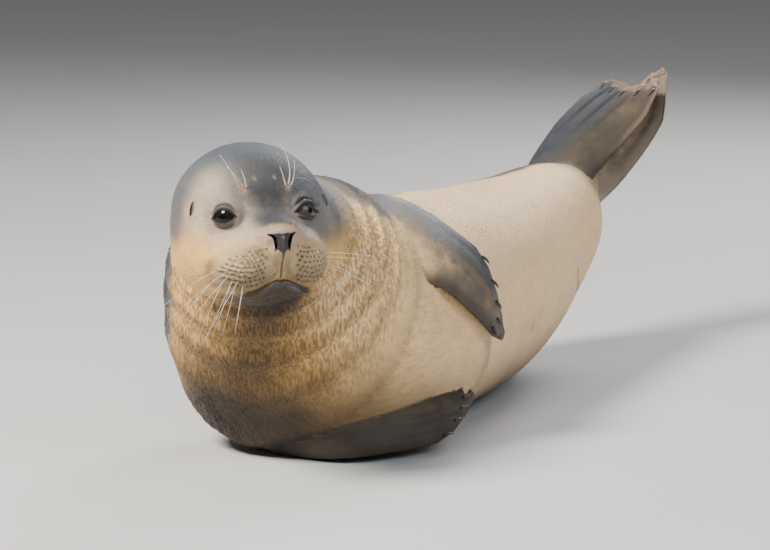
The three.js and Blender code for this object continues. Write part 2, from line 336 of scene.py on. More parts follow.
def ray_fan(q):
    """Start, axis, opening angle and place on the spine of rings q: the face, spine and tail."""
    f = np.clip(q / FACE_RINGS, 0, 1)[:, None]
    t = spine_place(q)
    over = np.clip((q - FACE_RINGS - SPINE_RINGS) / TAIL_RINGS, 0, 1)[:, None]
    face_way = unit(np.array(FACE_WAY) @ HEAD_AXES)
    face_axis = -unit(mix(-spine_axis(np.zeros(1)), face_way, 1 - f**1.5))
    axis = np.where(f < 1, face_axis, spine_axis(t))
    opening = np.where(f < 1, math.pi - (math.pi / 2) * f**1.25, (math.pi / 2) * (1 - over))
    return curve(SPINE, t), axis, opening, t


def plain_body(q, angle, grow):
    """The body's surface over rings q and angles from its left towards its back, as a grid."""
    start, axis, opening, t = ray_fan(q)
    roll = -np.radians(curve(ROLLS, t))
    left = -unit(np.cross(UP, axis))
    back = -unit(np.cross(axis, left))
    left, back = turned(left, axis, roll), turned(back, axis, roll)
    c, s = np.cos(angle)[None, :, None], np.sin(angle)[None, :, None]
    out = left[:, None] * c + back[:, None] * s
    ray = unit(axis[:, None] * np.cos(opening)[:, None] + out * np.sin(opening)[:, None])
    side, above, below = (curve(OVALS, t)[:, k, None] for k in range(3))
    depth = np.where(np.sin(angle) > 0, above, below)
    oval = 1 / np.hypot(np.cos(angle) / side, np.sin(angle) / depth)
    oval = oval * mix(FACE_OVAL, 1, np.clip(q / FACE_RINGS, 0, 1))[:, None]
    start = np.broadcast_to(start[:, None], ray.shape)
    head = np.zeros(oval.shape)
    near = t < HEAD_ENDS
    meets = head_reach(start[near].reshape(-1, 3), ray[near].reshape(-1, 3))
    head[near] = meets.reshape(head[near].shape)
    reach = (smooth_max(oval, head, NECK_BLEND) + grow)[..., None]
    return on_floor(start + ray * reach, ray)


def on_floor(points, ray):
    """Points that lie under the floor slide back along their ray onto it."""
    sunk = points[..., 2:] < 0
    return points - np.where(sunk, ray * points[..., 2:] / np.where(sunk, ray[..., 2:], 1), 0)


# ------------------------------------------------------------------ flippers
class Flipper:
    """The lofted shape of one flipper, as the solids have it."""

    def __init__(self, name):
        self.name = name
        self.sizes = FLIPPERS[name]
        self.outer = self.sizes["outer"]
        self.limb = LIMBS[name[:4]]

    def line(self, t):
        return curve(self.sizes["line"], t)

    def frame(self, t):
        """Centre, way, first and outer directions at t."""
        way = unit(self.line(t + 1e-4) - self.line(t - 1e-4))
        ends = [unit(np.array(e, float)) for e in self.sizes["first"]]
        first = mix(ends[0], ends[1], t[..., None])
        first = unit(first - way * np.sum(first * way, axis=-1, keepdims=True))
        return self.line(t), way, first, np.cross(way, first) * self.outer

    def along(self, key, t):
        rows = self.sizes[key]
        return np.interp(t, np.linspace(0, 1, len(rows)), rows)

    def digit_reach(self, u):
        """How far the flipper reaches at u, from 1 at the first digit's edge to -1 at the last's."""
        reach = np.array(self.sizes["reach"], float)
        row = np.empty(2 * DIGITS + 1)
        row[1::2] = reach
        row[2:-1:2] = (reach[1:] + reach[:-1]) / 2 - self.limb["notch"]
        row[[0, -1]] = reach[[0, -1]] - self.limb["rounding"]
        row[1] -= self.limb["shorter"]
        place = (1 - u) * DIGITS
        low = np.clip(np.floor(place).astype(int), 0, 2 * DIGITS - 1)
        share = place - low
        return mix(row[low], row[low + 1], ease(0, 1, share) if "hind" in self.name else share)

    def point(self, sigma, u, side, grow=0):
        """A point sigma of the way to a digit's tip, at u across; side 1 is the outer face."""
        t = sigma * mix(1, self.digit_reach(u), sigma)
        centre, _, first, out = self.frame(t)
        wide = self.along("width", t) / 2 + grow
        between = np.cos(math.pi * (1 - u) * DIGITS / 2) ** 2
        groove = 1 - self.limb["groove"] * ease(0, 1, sigma * 1.6 - 0.5) * between
        edge = np.sqrt(np.maximum(1 - np.abs(u) ** mix(2, 3, sigma), 0))
        tip = np.sqrt(np.maximum(1 - sigma**8, 0))
        deep = self.along("depth", t) / 2 * edge * groove * tip + grow * (edge > 0)
        return centre + first * (wide * u)[..., None] + out * (side * deep)[..., None]

    def grid(self, rings, columns, grow):
        """Rings of points from root to tip, and how far along and round the flipper each lies."""
        sigma = 1 - (1 - np.linspace(0, 1, rings)) ** 1.6
        phi = np.linspace(0, 2 * math.pi, 2 * columns, endpoint=False)
        u = np.cos(phi)
        side = np.where(np.sin(phi) >= 0, -self.outer, self.outer)
        s, across = np.meshgrid(sigma, u, indexing="ij")
        points = self.point(s, across, np.broadcast_to(side, s.shape), grow)
        points[..., 2] = np.maximum(points[..., 2], 0)
        return points, sigma, phi


# ------------------------------------------------------------------ the face
# The way each eye looks, to its side, forward and up.
EYE_LOOK = {1: (0.52, 0.85, 0.15), -1: (0.69, 0.72, 0.09)}
# The lids' opening: half its width, the height of its corners, and how far each lid arches.
EYE_OPENING = {
    1: {"half": 15.8, "corner": -0.6, "upper": 8.6, "lower": 4.8},
    -1: {"half": 12.6, "corner": -0.6, "upper": 9.0, "lower": 6.8},
}
# How much of the brown iris shows round the pupil, as painted light: the lit eye takes a brown glow of light
# and the sky's reflection, and the eye in shade is nearly all pupil.
IRIS_IN_LIGHT = {1: 1.0, -1: 0.1}
LID, EYE_POCKET = 1.8, 3
# How near the lid's margin the skin's points are drawn onto it.
LID_SNAP = 1.1
# Distances from the opening: the dark margin's width, the folds and creases of the lids, and how
# far the margin runs on past the outer and inner corners.
LID_FOLD = {
    "margin": 1.7,
    "fold": 3.3,
    "crease": 5.4,
    "lower_crease": 3.9,
    "past_outer": 1.8,
    "past_inner": 1.6,
}
# Ridges and grooves of each lid: height, distance from the opening and width.
UPPER_LID = ((0.7, LID_FOLD["fold"], 1.6), (-2.6, LID_FOLD["crease"], 1.2), (1.3, 9, 2.8))
LOWER_LID = ((0.4, 1.8, 1.6), (-1.3, LID_FOLD["lower_crease"], 0.9), (0.6, 7.5, 2.4))


def lid_lines(a, side):
    """Heights of the upper and lower lid margins at a, across the eyeball's front."""
    opening = EYE_OPENING[side]
    arch = np.maximum(1 - (a / opening["half"]) ** 2, 0)
    upper = opening["corner"] + opening["upper"] * arch**0.75
    lower = opening["corner"] - opening["lower"] * arch**0.7
    return upper, lower


def eye_axes(side):
    """Centre of the eyeball, and its outward-from-the-nose, up and outward directions."""
    centre = EYES[side]
    way = unit(np.multiply(EYE_LOOK[side], (side, 1, 1)) @ HEAD_AXES)
    outer = HEAD_AXES[0] * side
    outer = unit(outer - way * (outer @ way))
    up = HEAD_AXES[2] - way * (HEAD_AXES[2] @ way)
    return centre, outer, unit(up - outer * (up @ outer)), way


def on_eye(points, side):
    """How far points lie from the eyeball's centre and before it, and their across and up on the ball."""
    centre, outer, up, way = eye_axes(side)
    from_eye = points - centre
    far = np.linalg.norm(from_eye, axis=-1)
    return far, from_eye @ way, from_eye @ outer * EYE_RADIUS / far, from_eye @ up * EYE_RADIUS / far


def eye_ray(a, b, side):
    """Directions from the eyeball's centre through a across and b up on its front."""
    _, outer, up, way = eye_axes(side)
    c = np.sqrt(np.maximum(EYE_RADIUS**2 - a**2 - b**2, 0))
    return unit(a[..., None] * outer + b[..., None] * up + c[..., None] * way)


def ridges(off, rows):
    """The height of ridges and grooves at a distance off from the line they run along."""
    return sum(height * hump(off - at, width) for height, at, width in rows)


def lids(points, side):
    """Points near one eye, lifted over the eyeball as lids or sunk behind it in the opening."""
    far, before, a, b = on_eye(points, side)
    front = before > 0.15 * far
    upper, lower = lid_lines(a, side)
    above, below = b - upper, lower - b
    half = EYE_OPENING[side]["half"]
    between = front & (np.abs(a) < half)
    inside = between & (above < 0) & (below < 0)
    b = np.where(between & (above >= 0) & (above < LID_SNAP), upper, b)
    b = np.where(between & (below >= 0) & (below < LID_SNAP), lower, b)
    ends = ease(half + 1.5, half - 6, np.abs(a))
    rise = ridges(above, UPPER_LID) + ridges(below, LOWER_LID)
    lid = smooth_max(far, EYE_RADIUS + LID, 5) + ends * rise
    reach = np.where(inside, EYE_RADIUS - EYE_POCKET, lid)[..., None]
    near = (front & (far < 60))[..., None]
    return np.where(near, EYES[side] + eye_ray(a, b, side) * reach, points)


# Places on the face, to the head's left and up from between the eyes.
NOSE_TOP, NOSE_BOTTOM = -16.5, -44
# A nostril's slit from its outer tip down: out, up and half width.
NOSTRIL = (
    (17.0, -17.6, 0.5),
    (13.5, -18.8, 1.2),
    (10.6, -21.2, 1.8),
    (9.0, -25.5, 2.0),
    (8.0, -31.0, 1.7),
    (8.4, -36.5, 0.6),
)
# Half width of the leather between the slits, down from the nose's top.
SEPTUM = (
    (-16, 17.5),
    (-18.5, 15),
    (-21.5, 10.8),
    (-26, 9.0),
    (-31, 8.2),
    (-35, 6.8),
    (-37, 3.2),
    (-40, 1.2),
)
NOSE_DOME = {"at": -23, "half": (27, 17), "rise": 2.2}
# The mouth's middle, half the flat in it, how far its corners drop and half its width.
MOUTH = {"middle": -70.5, "flat": 3, "drop": 12, "half": 38}
BROW = {"at": (27, 31), "size": 5}
# The ear's slit and the rim behind it, forward and up on the side of the head.
EAR = {"at": (-2, 9.5), "half": (2.8, 8.0), "rim": (-9, 9, 5, 9)}
# Nothing of the ear lies nearer the head's middle than this.
EAR_OUT = 55
# The whisker pits stand in rows: where the first begins, the step along and down, and where each ends.
PIT = {"start": (20, -36), "step": (5.2, -5.5), "sag": 4.0, "radius": 1.35, "stray": 0.9}
PIT_ROW_ENDS = (38, 49, 57, 63, 66, 66, 63, 57)
PAD = {"at": (39, -54), "half": (29, 26)}


def mouth_line(x):
    down = ease(MOUTH["flat"], MOUTH["half"], np.abs(x))
    return MOUTH["middle"] - MOUTH["drop"] * down - 1.0 * hump(x, 2.5)


def bare_nose(local):
    """1 on the nose's bare leather."""
    x, y, z = np.abs(local[..., 0]), local[..., 1], local[..., 2]
    heights, halves = zip(*reversed(SEPTUM))
    side = ease(0.5, -0.5, x - np.interp(z, heights, halves))
    top = NOSE_TOP - 0.7 * hump(x, 3.5) - 0.6 * hump(x - 11, 3)
    return side * ease(0.4, -0.4, z - top) * ease(-0.6, 1.2, z - NOSE_BOTTOM) * (y > 50)


def nostrils(local):
    """1 inside the two nostrils."""
    x, y, z = np.abs(local[..., 0]), local[..., 1], local[..., 2]
    line = curve(NOSTRIL, np.linspace(0, 1, 40))
    open_ = np.zeros(x.shape)
    for at, height, width in line:
        near = np.hypot(x - at, z - height) / width
        open_ = np.maximum(open_, ease(1.3, 0.6, near))
    return open_ * (y > 50)


@functools.lru_cache(maxsize=1)
def pit_places():
    """Places of the whisker pits of the seal's left pad, row by row: left, up, row and column."""
    places = []
    rng = np.random.default_rng(3)
    for row, end in enumerate(PIT_ROW_ENDS):
        first = PIT["start"][0] + PIT["step"][0] * 0.5 * (row % 2)
        for column, x in enumerate(np.arange(first, end, PIT["step"][0])):
            z = PIT["start"][1] + PIT["step"][1] * row + pit_sag(x)
            x, z = np.array((x, z)) + rng.uniform(-1, 1, 2) * PIT["stray"]
            if z > mouth_line(x) + 4:
                places.append((x, z, row, column))
    return np.array(places)


def pit_sag(x):
    """How much higher a row of pits runs at x than at its lowest place."""
    return PIT["sag"] * ((x - PAD["at"][0]) / 20) ** 2


def pits(local):
    """1 in the middle of each whisker pit."""
    x, y, z = np.abs(local[..., 0]), local[..., 1], local[..., 2]
    deep = np.zeros(x.shape)
    for at, height, row, column in pit_places():
        wide = PIT["radius"] * (0.75 + 0.08 * min(row, 4) + 0.1 * ((3 * row + 5 * column) % 4))
        deep = np.maximum(deep, hump(np.hypot((x - at) / 1.25, z - height), wide))
    return deep * (y > 0)


def mouth_groove(local, width):
    """1 on the line where the lips meet."""
    x, y, z = local[..., 0], local[..., 1], local[..., 2]
    ends = ease(MOUTH["half"] + 4, MOUTH["half"] - 3, np.abs(x))
    return ends * hump(z - mouth_line(x), width) * ease(-10, 5, y)


def philtrum(local, width):
    """1 on the groove from the nose down to the upper lip."""
    x, y, z = local[..., 0], local[..., 1], local[..., 2]
    height = ease(MOUTH["middle"] - 1, MOUTH["middle"] + 6, z) * ease(-18, -24, z)
    return height * hump(x, width) * ease(30, 45, y)


def pad_shape(local):
    """Below 1 on the whisker pads, above 1 outside them."""
    out = np.abs(local[..., 0]) - PAD["at"][0]
    return np.hypot(out / PAD["half"][0], (local[..., 2] - PAD["at"][1]) / PAD["half"][1])


def dome_shape(local):
    """Below 1 on the soft dome over the nose."""
    wide, high = NOSE_DOME["half"]
    return np.hypot(local[..., 0] / wide, (local[..., 2] - NOSE_DOME["at"]) / high)


def brow_distance(local):
    return np.hypot(np.abs(local[..., 0]) - BROW["at"][0], local[..., 2] - BROW["at"][1])


def ear_shape(local):
    """Below 1 in the ear's slit."""
    y, z = local[..., 1] - EAR["at"][0], local[..., 2] - EAR["at"][1]
    y = y - 0.05 * z
    return np.hypot(y / EAR["half"][0], z / EAR["half"][1]) + 1000 * (np.abs(local[..., 0]) < EAR_OUT)


def ear_rim(local):
    """1 on the low bare rim behind the ear's slit."""
    y, z, deep, high = EAR["rim"]
    near = np.hypot((local[..., 1] - y) / deep, (local[..., 2] - z) / high)
    return hump(near, 0.9) * (np.abs(local[..., 0]) > EAR_OUT)


def face_relief(local):
    """How far the face's skin stands out of its plain form, in the plain form's normal."""
    x, y, z = local[..., 0], local[..., 1], local[..., 2]
    out = np.abs(x)
    front = ease(-5, 8, y)
    lip = mouth_line(x)
    corner = ease(MOUTH["half"] + 8, MOUTH["half"] - 4, out)
    under = ease(1, -2, z - lip) * ease(-22, -8, z - lip)
    mouth = -3.6 * mouth_groove(local, 1.3) - 3.0 * corner * under
    upper_lip = 1.2 * corner * hump(z - lip - 4, 3.5) + 0.8 * hump(x, 13) * hump(z - lip + 6, 4)
    cleft = -1.6 * philtrum(local, 1.1) - 1.8 * philtrum(local, 6)
    rim = pad_shape(local)
    pads = 4.0 * ease(1.10, 0.65, rim) - 2.0 * hump(rim - 1.12, 0.10) * ease(-30, -44, z)
    row = (z - pit_sag(out) - PIT["start"][1]) / PIT["step"][1]
    rows = ease(1.1, 0.7, rim) * (0.08 * np.cos(2 * math.pi * (row - 0.5)) + 0.55 * noise(local, 4.2, 41))
    brow = 1.6 * hump(brow_distance(local), BROW["size"])
    ear = -2.2 * ease(1.2, 0.5, ear_shape(local)) + 1.8 * ear_rim(local)
    nose = NOSE_DOME["rise"] * ease(1.12, 0.8, dome_shape(local)) * ease(-46, -26, z) * ease(45, 58, y)
    lobes = 1.3 * hump(out - 4.5, 3.2) * hump(z + 23, 6) * ease(50, 60, y)
    wings = 1.4 * hump(out - 14.5, 4.5) * hump(z + 29, 6) * ease(45, 58, y)
    total = front * (mouth + upper_lip + cleft + pads + rows - 1.2 * pits(local) + brow)
    skin = 0.22 * noise(local, (5, 5, 3.2), 42) + 0.5 * noise(local, 26, 43)
    return total + nose + lobes + wings + ear + skin


# ------------------------------------------------------------------ the skin's grid
class Body:
    """The body's fine grid, with the places, directions and charts that the pieces share."""

    def __init__(self, face_rings, spine_rings, sides, depth):
        face = FACE_RINGS * np.linspace(0, 1, face_rings, endpoint=False)
        spine = FACE_RINGS + SPINE_RINGS * np.linspace(0, 1, spine_rings, endpoint=False)
        tail = FACE_RINGS + SPINE_RINGS + TAIL_RINGS * np.linspace(0, 1, sides // 40)
        self.q = np.concatenate([face, spine, tail])
        self.share = np.linspace(0, 1, sides, endpoint=False)
        self.angle = body_angle(self.share)
        plain = plain_body(self.q, self.angle, -depth)
        self.normal = grid_normals(plain)
        self.lie = unit(np.gradient(plain, axis=0))
        steps = np.linalg.norm(np.diff(plain, axis=0), axis=-1).mean(axis=1)
        self.along = np.cumsum(np.r_[0, steps])
        self.points = on_floor(self.relief(plain), -self.normal)

    def relief(self, plain):
        """The grid with the face's features and the coat's furrows."""
        q, angle = np.meshgrid(self.q, self.angle, indexing="ij")
        along = np.broadcast_to(self.along[:, None], q.shape)
        points = plain + self.normal * folds(plain, q, angle, along)[..., None]
        face = self.q < FACE_RINGS + 2
        local = in_head(plain[face])
        points[face] += self.normal[face] * face_relief(local)[..., None]
        points[face] -= HEAD_AXES[1] * (9 * nostrils(local))[..., None]
        for side in (1, -1):
            points[face] = lids(points[face], side)
        return points


def grid_normals(points):
    """Outward normals of a grid whose columns close on themselves."""
    down = np.gradient(points, axis=0)
    round_ = np.roll(points, -1, axis=1) - np.roll(points, 1, axis=1)
    normal = unit(np.cross(round_, down))
    normal[0], normal[-1] = unit(normal[1].mean(axis=0)), unit(normal[-2].mean(axis=0))
    return normal


def throat(local, t, angle):
    """1 on the throat, cheeks and fore neck, where the coat lies in short wavy furrows."""
    belly_side = ease(0.62, -0.2, np.sin(angle))
    below = ease(-38, -78, local[..., 2])
    return belly_side * ease(0.36, 0.22, t) * np.maximum(below, ease(0.02, 0.08, t))


def furrows(along, across):
    """Short wavy furrows along the coat, from about -1 to 1."""
    place = np.stack([along, across], axis=-1)
    bent = place + np.stack([0 * along, 6 * noise(place, (26, 40), 1)], axis=-1)
    strokes = noise(bent, (11, 3.1), 2) + 0.5 * noise(bent, (6, 1.9), 3)
    return strokes * (0.75 + 0.5 * noise(place, (45, 60), 6))


# Soft folds round the neck: place along the spine, depth and width.
NECK_FOLDS = (
    (0.030, 2.5, 0.006),
    (0.062, 3.4, 0.006),
    (0.094, 4.2, 0.007),
    (0.128, 5.0, 0.008),
    (0.165, 4.2, 0.010),
    (0.215, 3.0, 0.013),
)
# Dents of the belly, as place or line, width and depth: the navel, the opening behind it and the
# crease beside the upper foreflipper.
NAVEL = ((188, 432, 107), 9, 3.2)
OPENING = (((258, 634, 150), (259, 642, 135), (260, 660, 119)), 4, 3.0)
BELLY_CREASE = (((134, 262, 124), (123, 284, 92), (112, 295, 60)), 9, 3.0)


def neck_rolls(points, t, spread=1):
    """How deep the neck's soft folds lie; they bend a little on their way round."""
    place = t + 0.006 * noise(points, 85, 4)
    return sum(depth * hump(place - at, spread * width) for at, depth, width in NECK_FOLDS)


def near_line(points, line):
    """How far points lie from a line of places."""
    rows = curve(line, np.linspace(0, 1, 24))
    far = np.full(points.shape[:-1], np.inf)
    for row in rows:
        far = np.minimum(far, np.linalg.norm(points - row, axis=-1))
    return far


def belly_dents(points):
    """How deep the navel, the opening behind it and the crease at the flipper lie."""
    place, width, depth = NAVEL
    total = -depth * hump(np.linalg.norm(points - np.array(place), axis=-1), width)
    for line, width, depth in (OPENING, BELLY_CREASE):
        total = total - depth * hump(near_line(points, line), width)
    return total


def folds(points, q, angle, along):
    """How far the coat's furrows and the skin's soft folds stand out of the plain body."""
    t = spine_place(q)
    fur = 0.85 * throat(in_head(points), t, angle) * furrows(along, angle * GIRTH_RADIUS)
    rolls = neck_rolls(points, t) * ease(0.95, 0.4, np.sin(angle))
    soft = 1.6 * noise(points, (90, 120, 90), 5) * ease(0.05, 0.2, t)
    return fur - rolls + soft + belly_dents(points)


# ------------------------------------------------------------------ meshes
def new_piece(name, points, blocks, materials):
    """A mesh object from points in the body's coordinates and arrays of faces."""
    mesh = bpy.data.meshes.new(name)
    mesh.vertices.add(len(points))
    move_to(mesh, points)
    sizes = np.concatenate([np.full(len(b), b.shape[1]) for b in blocks])
    corners = np.concatenate([b.ravel() for b in blocks])
    mesh.loops.add(len(corners))
    mesh.loops.foreach_set("vertex_index", corners.astype(np.int32))
    mesh.polygons.add(len(sizes))
    mesh.polygons.foreach_set("loop_start", (np.cumsum(sizes) - sizes).astype(np.int32))
    mesh.update(calc_edges=True)
    mesh.polygons.foreach_set("use_smooth", np.ones(len(sizes), bool))
    for material in materials:
        mesh.materials.append(material)
    piece = bpy.data.objects.new(name, mesh)
    bpy.context.scene.collection.objects.link(piece)
    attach(piece, "root")
    return piece


def move_to(mesh, points):
    """Moves the vertices to points in the body's coordinates."""
    mesh.vertices.foreach_set("co", ((points + TO_ROW) * METRES).astype(np.float32).ravel())


def read(collection, key, width, kind=np.float32):
    values = np.empty(len(collection) * width, kind)
    collection.foreach_get(key, values)
    return values.reshape(-1, width) if width > 1 else values


def positions(mesh):
    """Vertex places in the body's coordinates."""
    return read(mesh.vertices, "co", 3).astype(float) / METRES - TO_ROW


def rings_mesh(grid):
    """Points and faces of a closed surface over rings; first and last rings shrink to a point."""
    rows, sides = grid.shape[:2]
    points = np.vstack([grid[0].mean(axis=0), grid[1:-1].reshape(-1, 3), grid[-1].mean(axis=0)])
    index = np.arange((rows - 2) * sides).reshape(rows - 2, sides) + 1
    after = np.roll(index, -1, axis=1)
    quads = np.stack([index[:-1], index[1:], after[1:], after[:-1]], axis=-1).reshape(-1, 4)
    start = np.stack([np.zeros(sides, int), index[0], after[0]], axis=-1)
    end = np.stack([index[-1], np.full(sides, len(points) - 1), after[-1]], axis=-1)
    return points, [quads, start, end]


def face_spans(mesh):
    """The first corner of each face and how many it has."""
    totals = read(mesh.polygons, "loop_total", 1, np.int32)
    return np.cumsum(totals) - totals, totals


def set_colours(mesh, colours):
    rgba = np.ones((len(colours), 4), np.float32)
    rgba[:, :3] = colours
    layer = mesh.color_attributes.new("Coat", "FLOAT_COLOR", "POINT")
    layer.data.foreach_set("color", rgba.ravel())


def set_number(mesh, name, values):
    layer = mesh.attributes.new(name, "FLOAT", "POINT")
    layer.data.foreach_set("value", values.astype(np.float32))


def set_map(mesh, name, corners):
    layer = mesh.uv_layers.new(name=name)
    layer.data.foreach_set("uv", corners.astype(np.float32).ravel())


# ------------------------------------------------------------------ the skin
# Rings over the face, rings over the spine and points round the body; rings and columns of a flipper.
BODY_GRID = (340, 260, 512)
FLIPPER_GRID = (150, 110)
# How far the coat's own map runs along and across a flipper.
FLIPPER_SPAN = (260, 220)
# How many times the joins are smoothed, and how far each time.
SOFTENING = {"rounds": 30, "share": 0.6}


class Skin:
    """The joined skin of body and flippers, with what the coat and the colours need of it."""

    def __init__(self, props):
        fine = 1
        depth = props.coat_depth / METRES
        self.body = Body(*(int(count * fine) for count in BODY_GRID), depth)
        self.flippers = [Flipper(name) for name in FLIPPERS]
        rings, columns = (int(count * fine) for count in FLIPPER_GRID)
        self.grids = [flipper.grid(rings, columns, -depth) for flipper in self.flippers]

    def charts(self):
        """For the body and each flipper: points, directions of lie, and two places along and round."""
        q, share = np.meshgrid(self.body.q, self.body.share, indexing="ij")
        yield self.body.points, self.body.lie, q, share
        for points, sigma, phi in self.grids:
            s, p = np.meshgrid(sigma, phi / (2 * math.pi), indexing="ij")
            yield points, unit(np.gradient(points, axis=0)), s, p

    def join(self, materials):
        """The body's mesh joined with the flippers', and which chart each face came from."""
        skin = new_piece("seal_skin", *rings_mesh(self.body.points), materials)
        for number, (points, _, _) in enumerate(self.grids, 1):
            closed = np.concatenate([points[:1], points, points[-1:]])
            flipper = new_piece("flipper_form", *rings_mesh(closed), materials)
            faces = flipper.data.polygons
            faces.foreach_set("material_index", np.full(len(faces), number))
            union = skin.modifiers.new("join", "BOOLEAN")
            union.operation, union.solver, union.object = "UNION", "MANIFOLD", flipper
            graph = bpy.context.evaluated_depsgraph_get()
            joined = bpy.data.meshes.new_from_object(skin.evaluated_get(graph))
            skin.modifiers.clear()
            skin.data = joined
            bpy.data.objects.remove(flipper)
        skin.data.name = skin.name
        self.mesh = skin.data
        self.face_chart = read(self.mesh.polygons, "material_index", 1, np.int32)
        return skin

    def soften_joins(self, radius):
        """Smooths the skin where the flippers grow out of the body."""
        mesh = self.mesh
        points = positions(mesh)
        edges = read(mesh.edges, "vertices", 2, np.int32)
        edge_of_loop = read(mesh.loops, "edge_index", 1, np.int32)
        chart_of_loop = np.repeat(self.face_chart, face_spans(mesh)[1])
        lowest = np.full(len(edges), 99)
        highest = np.zeros(len(edges), int)
        np.minimum.at(lowest, edge_of_loop, chart_of_loop)
        np.maximum.at(highest, edge_of_loop, chart_of_loop)
        seam = np.unique(edges[lowest != highest])
        far = nearest(points[seam], points)[1]
        weight = ease(radius, radius / 3, far)
        near = edges[(weight[edges] > 0).any(axis=1)]
        count = np.bincount(near.ravel(), minlength=len(points))[:, None]
        weight = weight[:, None]
        for _ in range(SOFTENING["rounds"]):
            total = np.zeros_like(points)
            for axis, (one, other) in itertools.product(range(3), ((0, 1), (1, 0))):
                total[:, axis] += np.bincount(near[:, one], points[near[:, other], axis], len(points))
            middle = total / np.maximum(count, 1)
            points = np.where(weight > 0, mix(points, middle, SOFTENING["share"] * weight), points)
        points[:, 2] = np.maximum(points[:, 2], 0)
        move_to(mesh, points)
        mesh.update()

    def place_vertices(self):
        """Finds where each vertex lies on the charts, and the way its coat lies."""
        mesh = self.mesh
        self.points = positions(mesh)
        self.normal = read(mesh.vertex_normals, "vector", 3).astype(float)
        loops = read(mesh.loops, "vertex_index", 1, np.int32)
        self.corner_chart = chart = np.repeat(self.face_chart, face_spans(mesh)[1])
        self.corner_place = np.zeros((len(loops), 2))
        self.lie = np.zeros_like(self.points)
        self.on_body = np.zeros((len(self.points), 3))
        self.on_flipper = np.zeros((len(self.points), 3))
        for number, (grid, lie, along, round_) in enumerate(self.charts()):
            used = np.unique(loops[chart == number]) if number else np.arange(len(self.points))
            found, _ = nearest(grid.reshape(-1, 3), self.points[used])
            place = np.stack([along.ravel(), round_.ravel()], axis=-1)[found]
            row = np.zeros((len(self.points), 2))
            row[used] = place
            self.corner_place[chart == number] = row[loops[chart == number]]
            self.lie[used] = lie.reshape(-1, 3)[found]
            if number:
                self.on_flipper[used] = np.column_stack([np.full(len(used), number), place])
            else:
                self.on_body[:, :2] = place
        self.close_charts()
        angle = body_angle(self.on_body[:, 1])
        reach = np.interp(self.on_body[:, 0], self.body.q, self.body.along)
        self.on_body[:, 2] = furrows(reach, angle * GIRTH_RADIUS)
        t = spine_place(self.on_body[:, 0])
        self.throat = throat(in_head(self.points), t, angle) * ease(0, 0.02, t)
        self.throat *= ease(0.24, 0.12, t) * (self.on_flipper[:, 0] == 0)
        # The throat's coat hangs down.
        self.lie = unit(self.lie - 1.5 * self.throat[:, None] * UP)

    def close_charts(self):
        """Lets a face that crosses a chart's edge run on past it, so that no face is torn across."""
        starts, totals = face_spans(self.mesh)
        round_ = self.corner_place[:, 1]
        low = np.repeat(np.minimum.reduceat(round_, starts), totals)
        high = np.repeat(np.maximum.reduceat(round_, starts), totals)
        self.corner_place[:, 1] += (high - low > 0.5) & (round_ < 0.5)

    def paint(self, colours):
        """Lays the maps and the markings on the skin."""
        mesh = self.mesh
        set_map(mesh, "OFBake", chart_map(self.corner_chart, self.corner_place))
        set_map(mesh, "Lie", self.lie_map(self.corner_chart, self.corner_place))
        colour, bare = markings(colours, self.points, self.on_body, self.on_flipper)
        set_colours(mesh, colour)
        set_number(mesh, "Bare", bare)
        set_number(mesh, "Throat", self.throat)
        mesh.polygons.foreach_set("material_index", np.zeros(len(mesh.polygons), np.int32))
        while len(mesh.materials) > 1:
            mesh.materials.pop()

    def lie_map(self, chart, place):
        """Places in metres along and across the lie of the coat."""
        on_body = chart == 0
        reach = np.interp(place[:, 0], self.body.q, self.body.along)
        along = np.where(on_body, reach, place[:, 0] * FLIPPER_SPAN[0])
        across = np.where(on_body, place[:, 1] * 2 * math.pi * GIRTH_RADIUS, place[:, 1] * FLIPPER_SPAN[1])
        return np.column_stack([along, across]) * METRES


def nearest(targets, points):
    """The number of the nearest target to each point, and how far it is."""
    tree = KDTree(len(targets))
    for number, target in enumerate(targets.tolist()):
        tree.insert(target, number)
    tree.balance()
    found = [tree.find(point)[1:] for point in points.tolist()]
    return np.array([f[0] for f in found]), np.array([f[1] for f in found])


# The bake map: the face and the rest of the body side by side, then a band for each flipper.
FACE_CHART = (0.01, 0.3)
TRUNK_CHART = (0.3, 0.72)
FLIPPER_CHART = (0.75, 0.98)


def chart_map(chart, place):
    """Map places of chart places."""
    q, round_ = place[:, 0], place[:, 1]
    face = mix(*FACE_CHART, q / FACE_RINGS)
    trunk = mix(*TRUNK_CHART, (q - FACE_RINGS) / (SPINE_RINGS + TAIL_RINGS))
    body = np.column_stack([np.where(q < FACE_RINGS, face, trunk), mix(0.01, 0.97, round_)])
    band = (chart - 1 + mix(0.06, 0.9, round_)) / len(FLIPPERS)
    flipper = np.column_stack([mix(*FLIPPER_CHART, place[:, 0]), band])
    return np.where(chart[:, None] == 0, body, flipper)


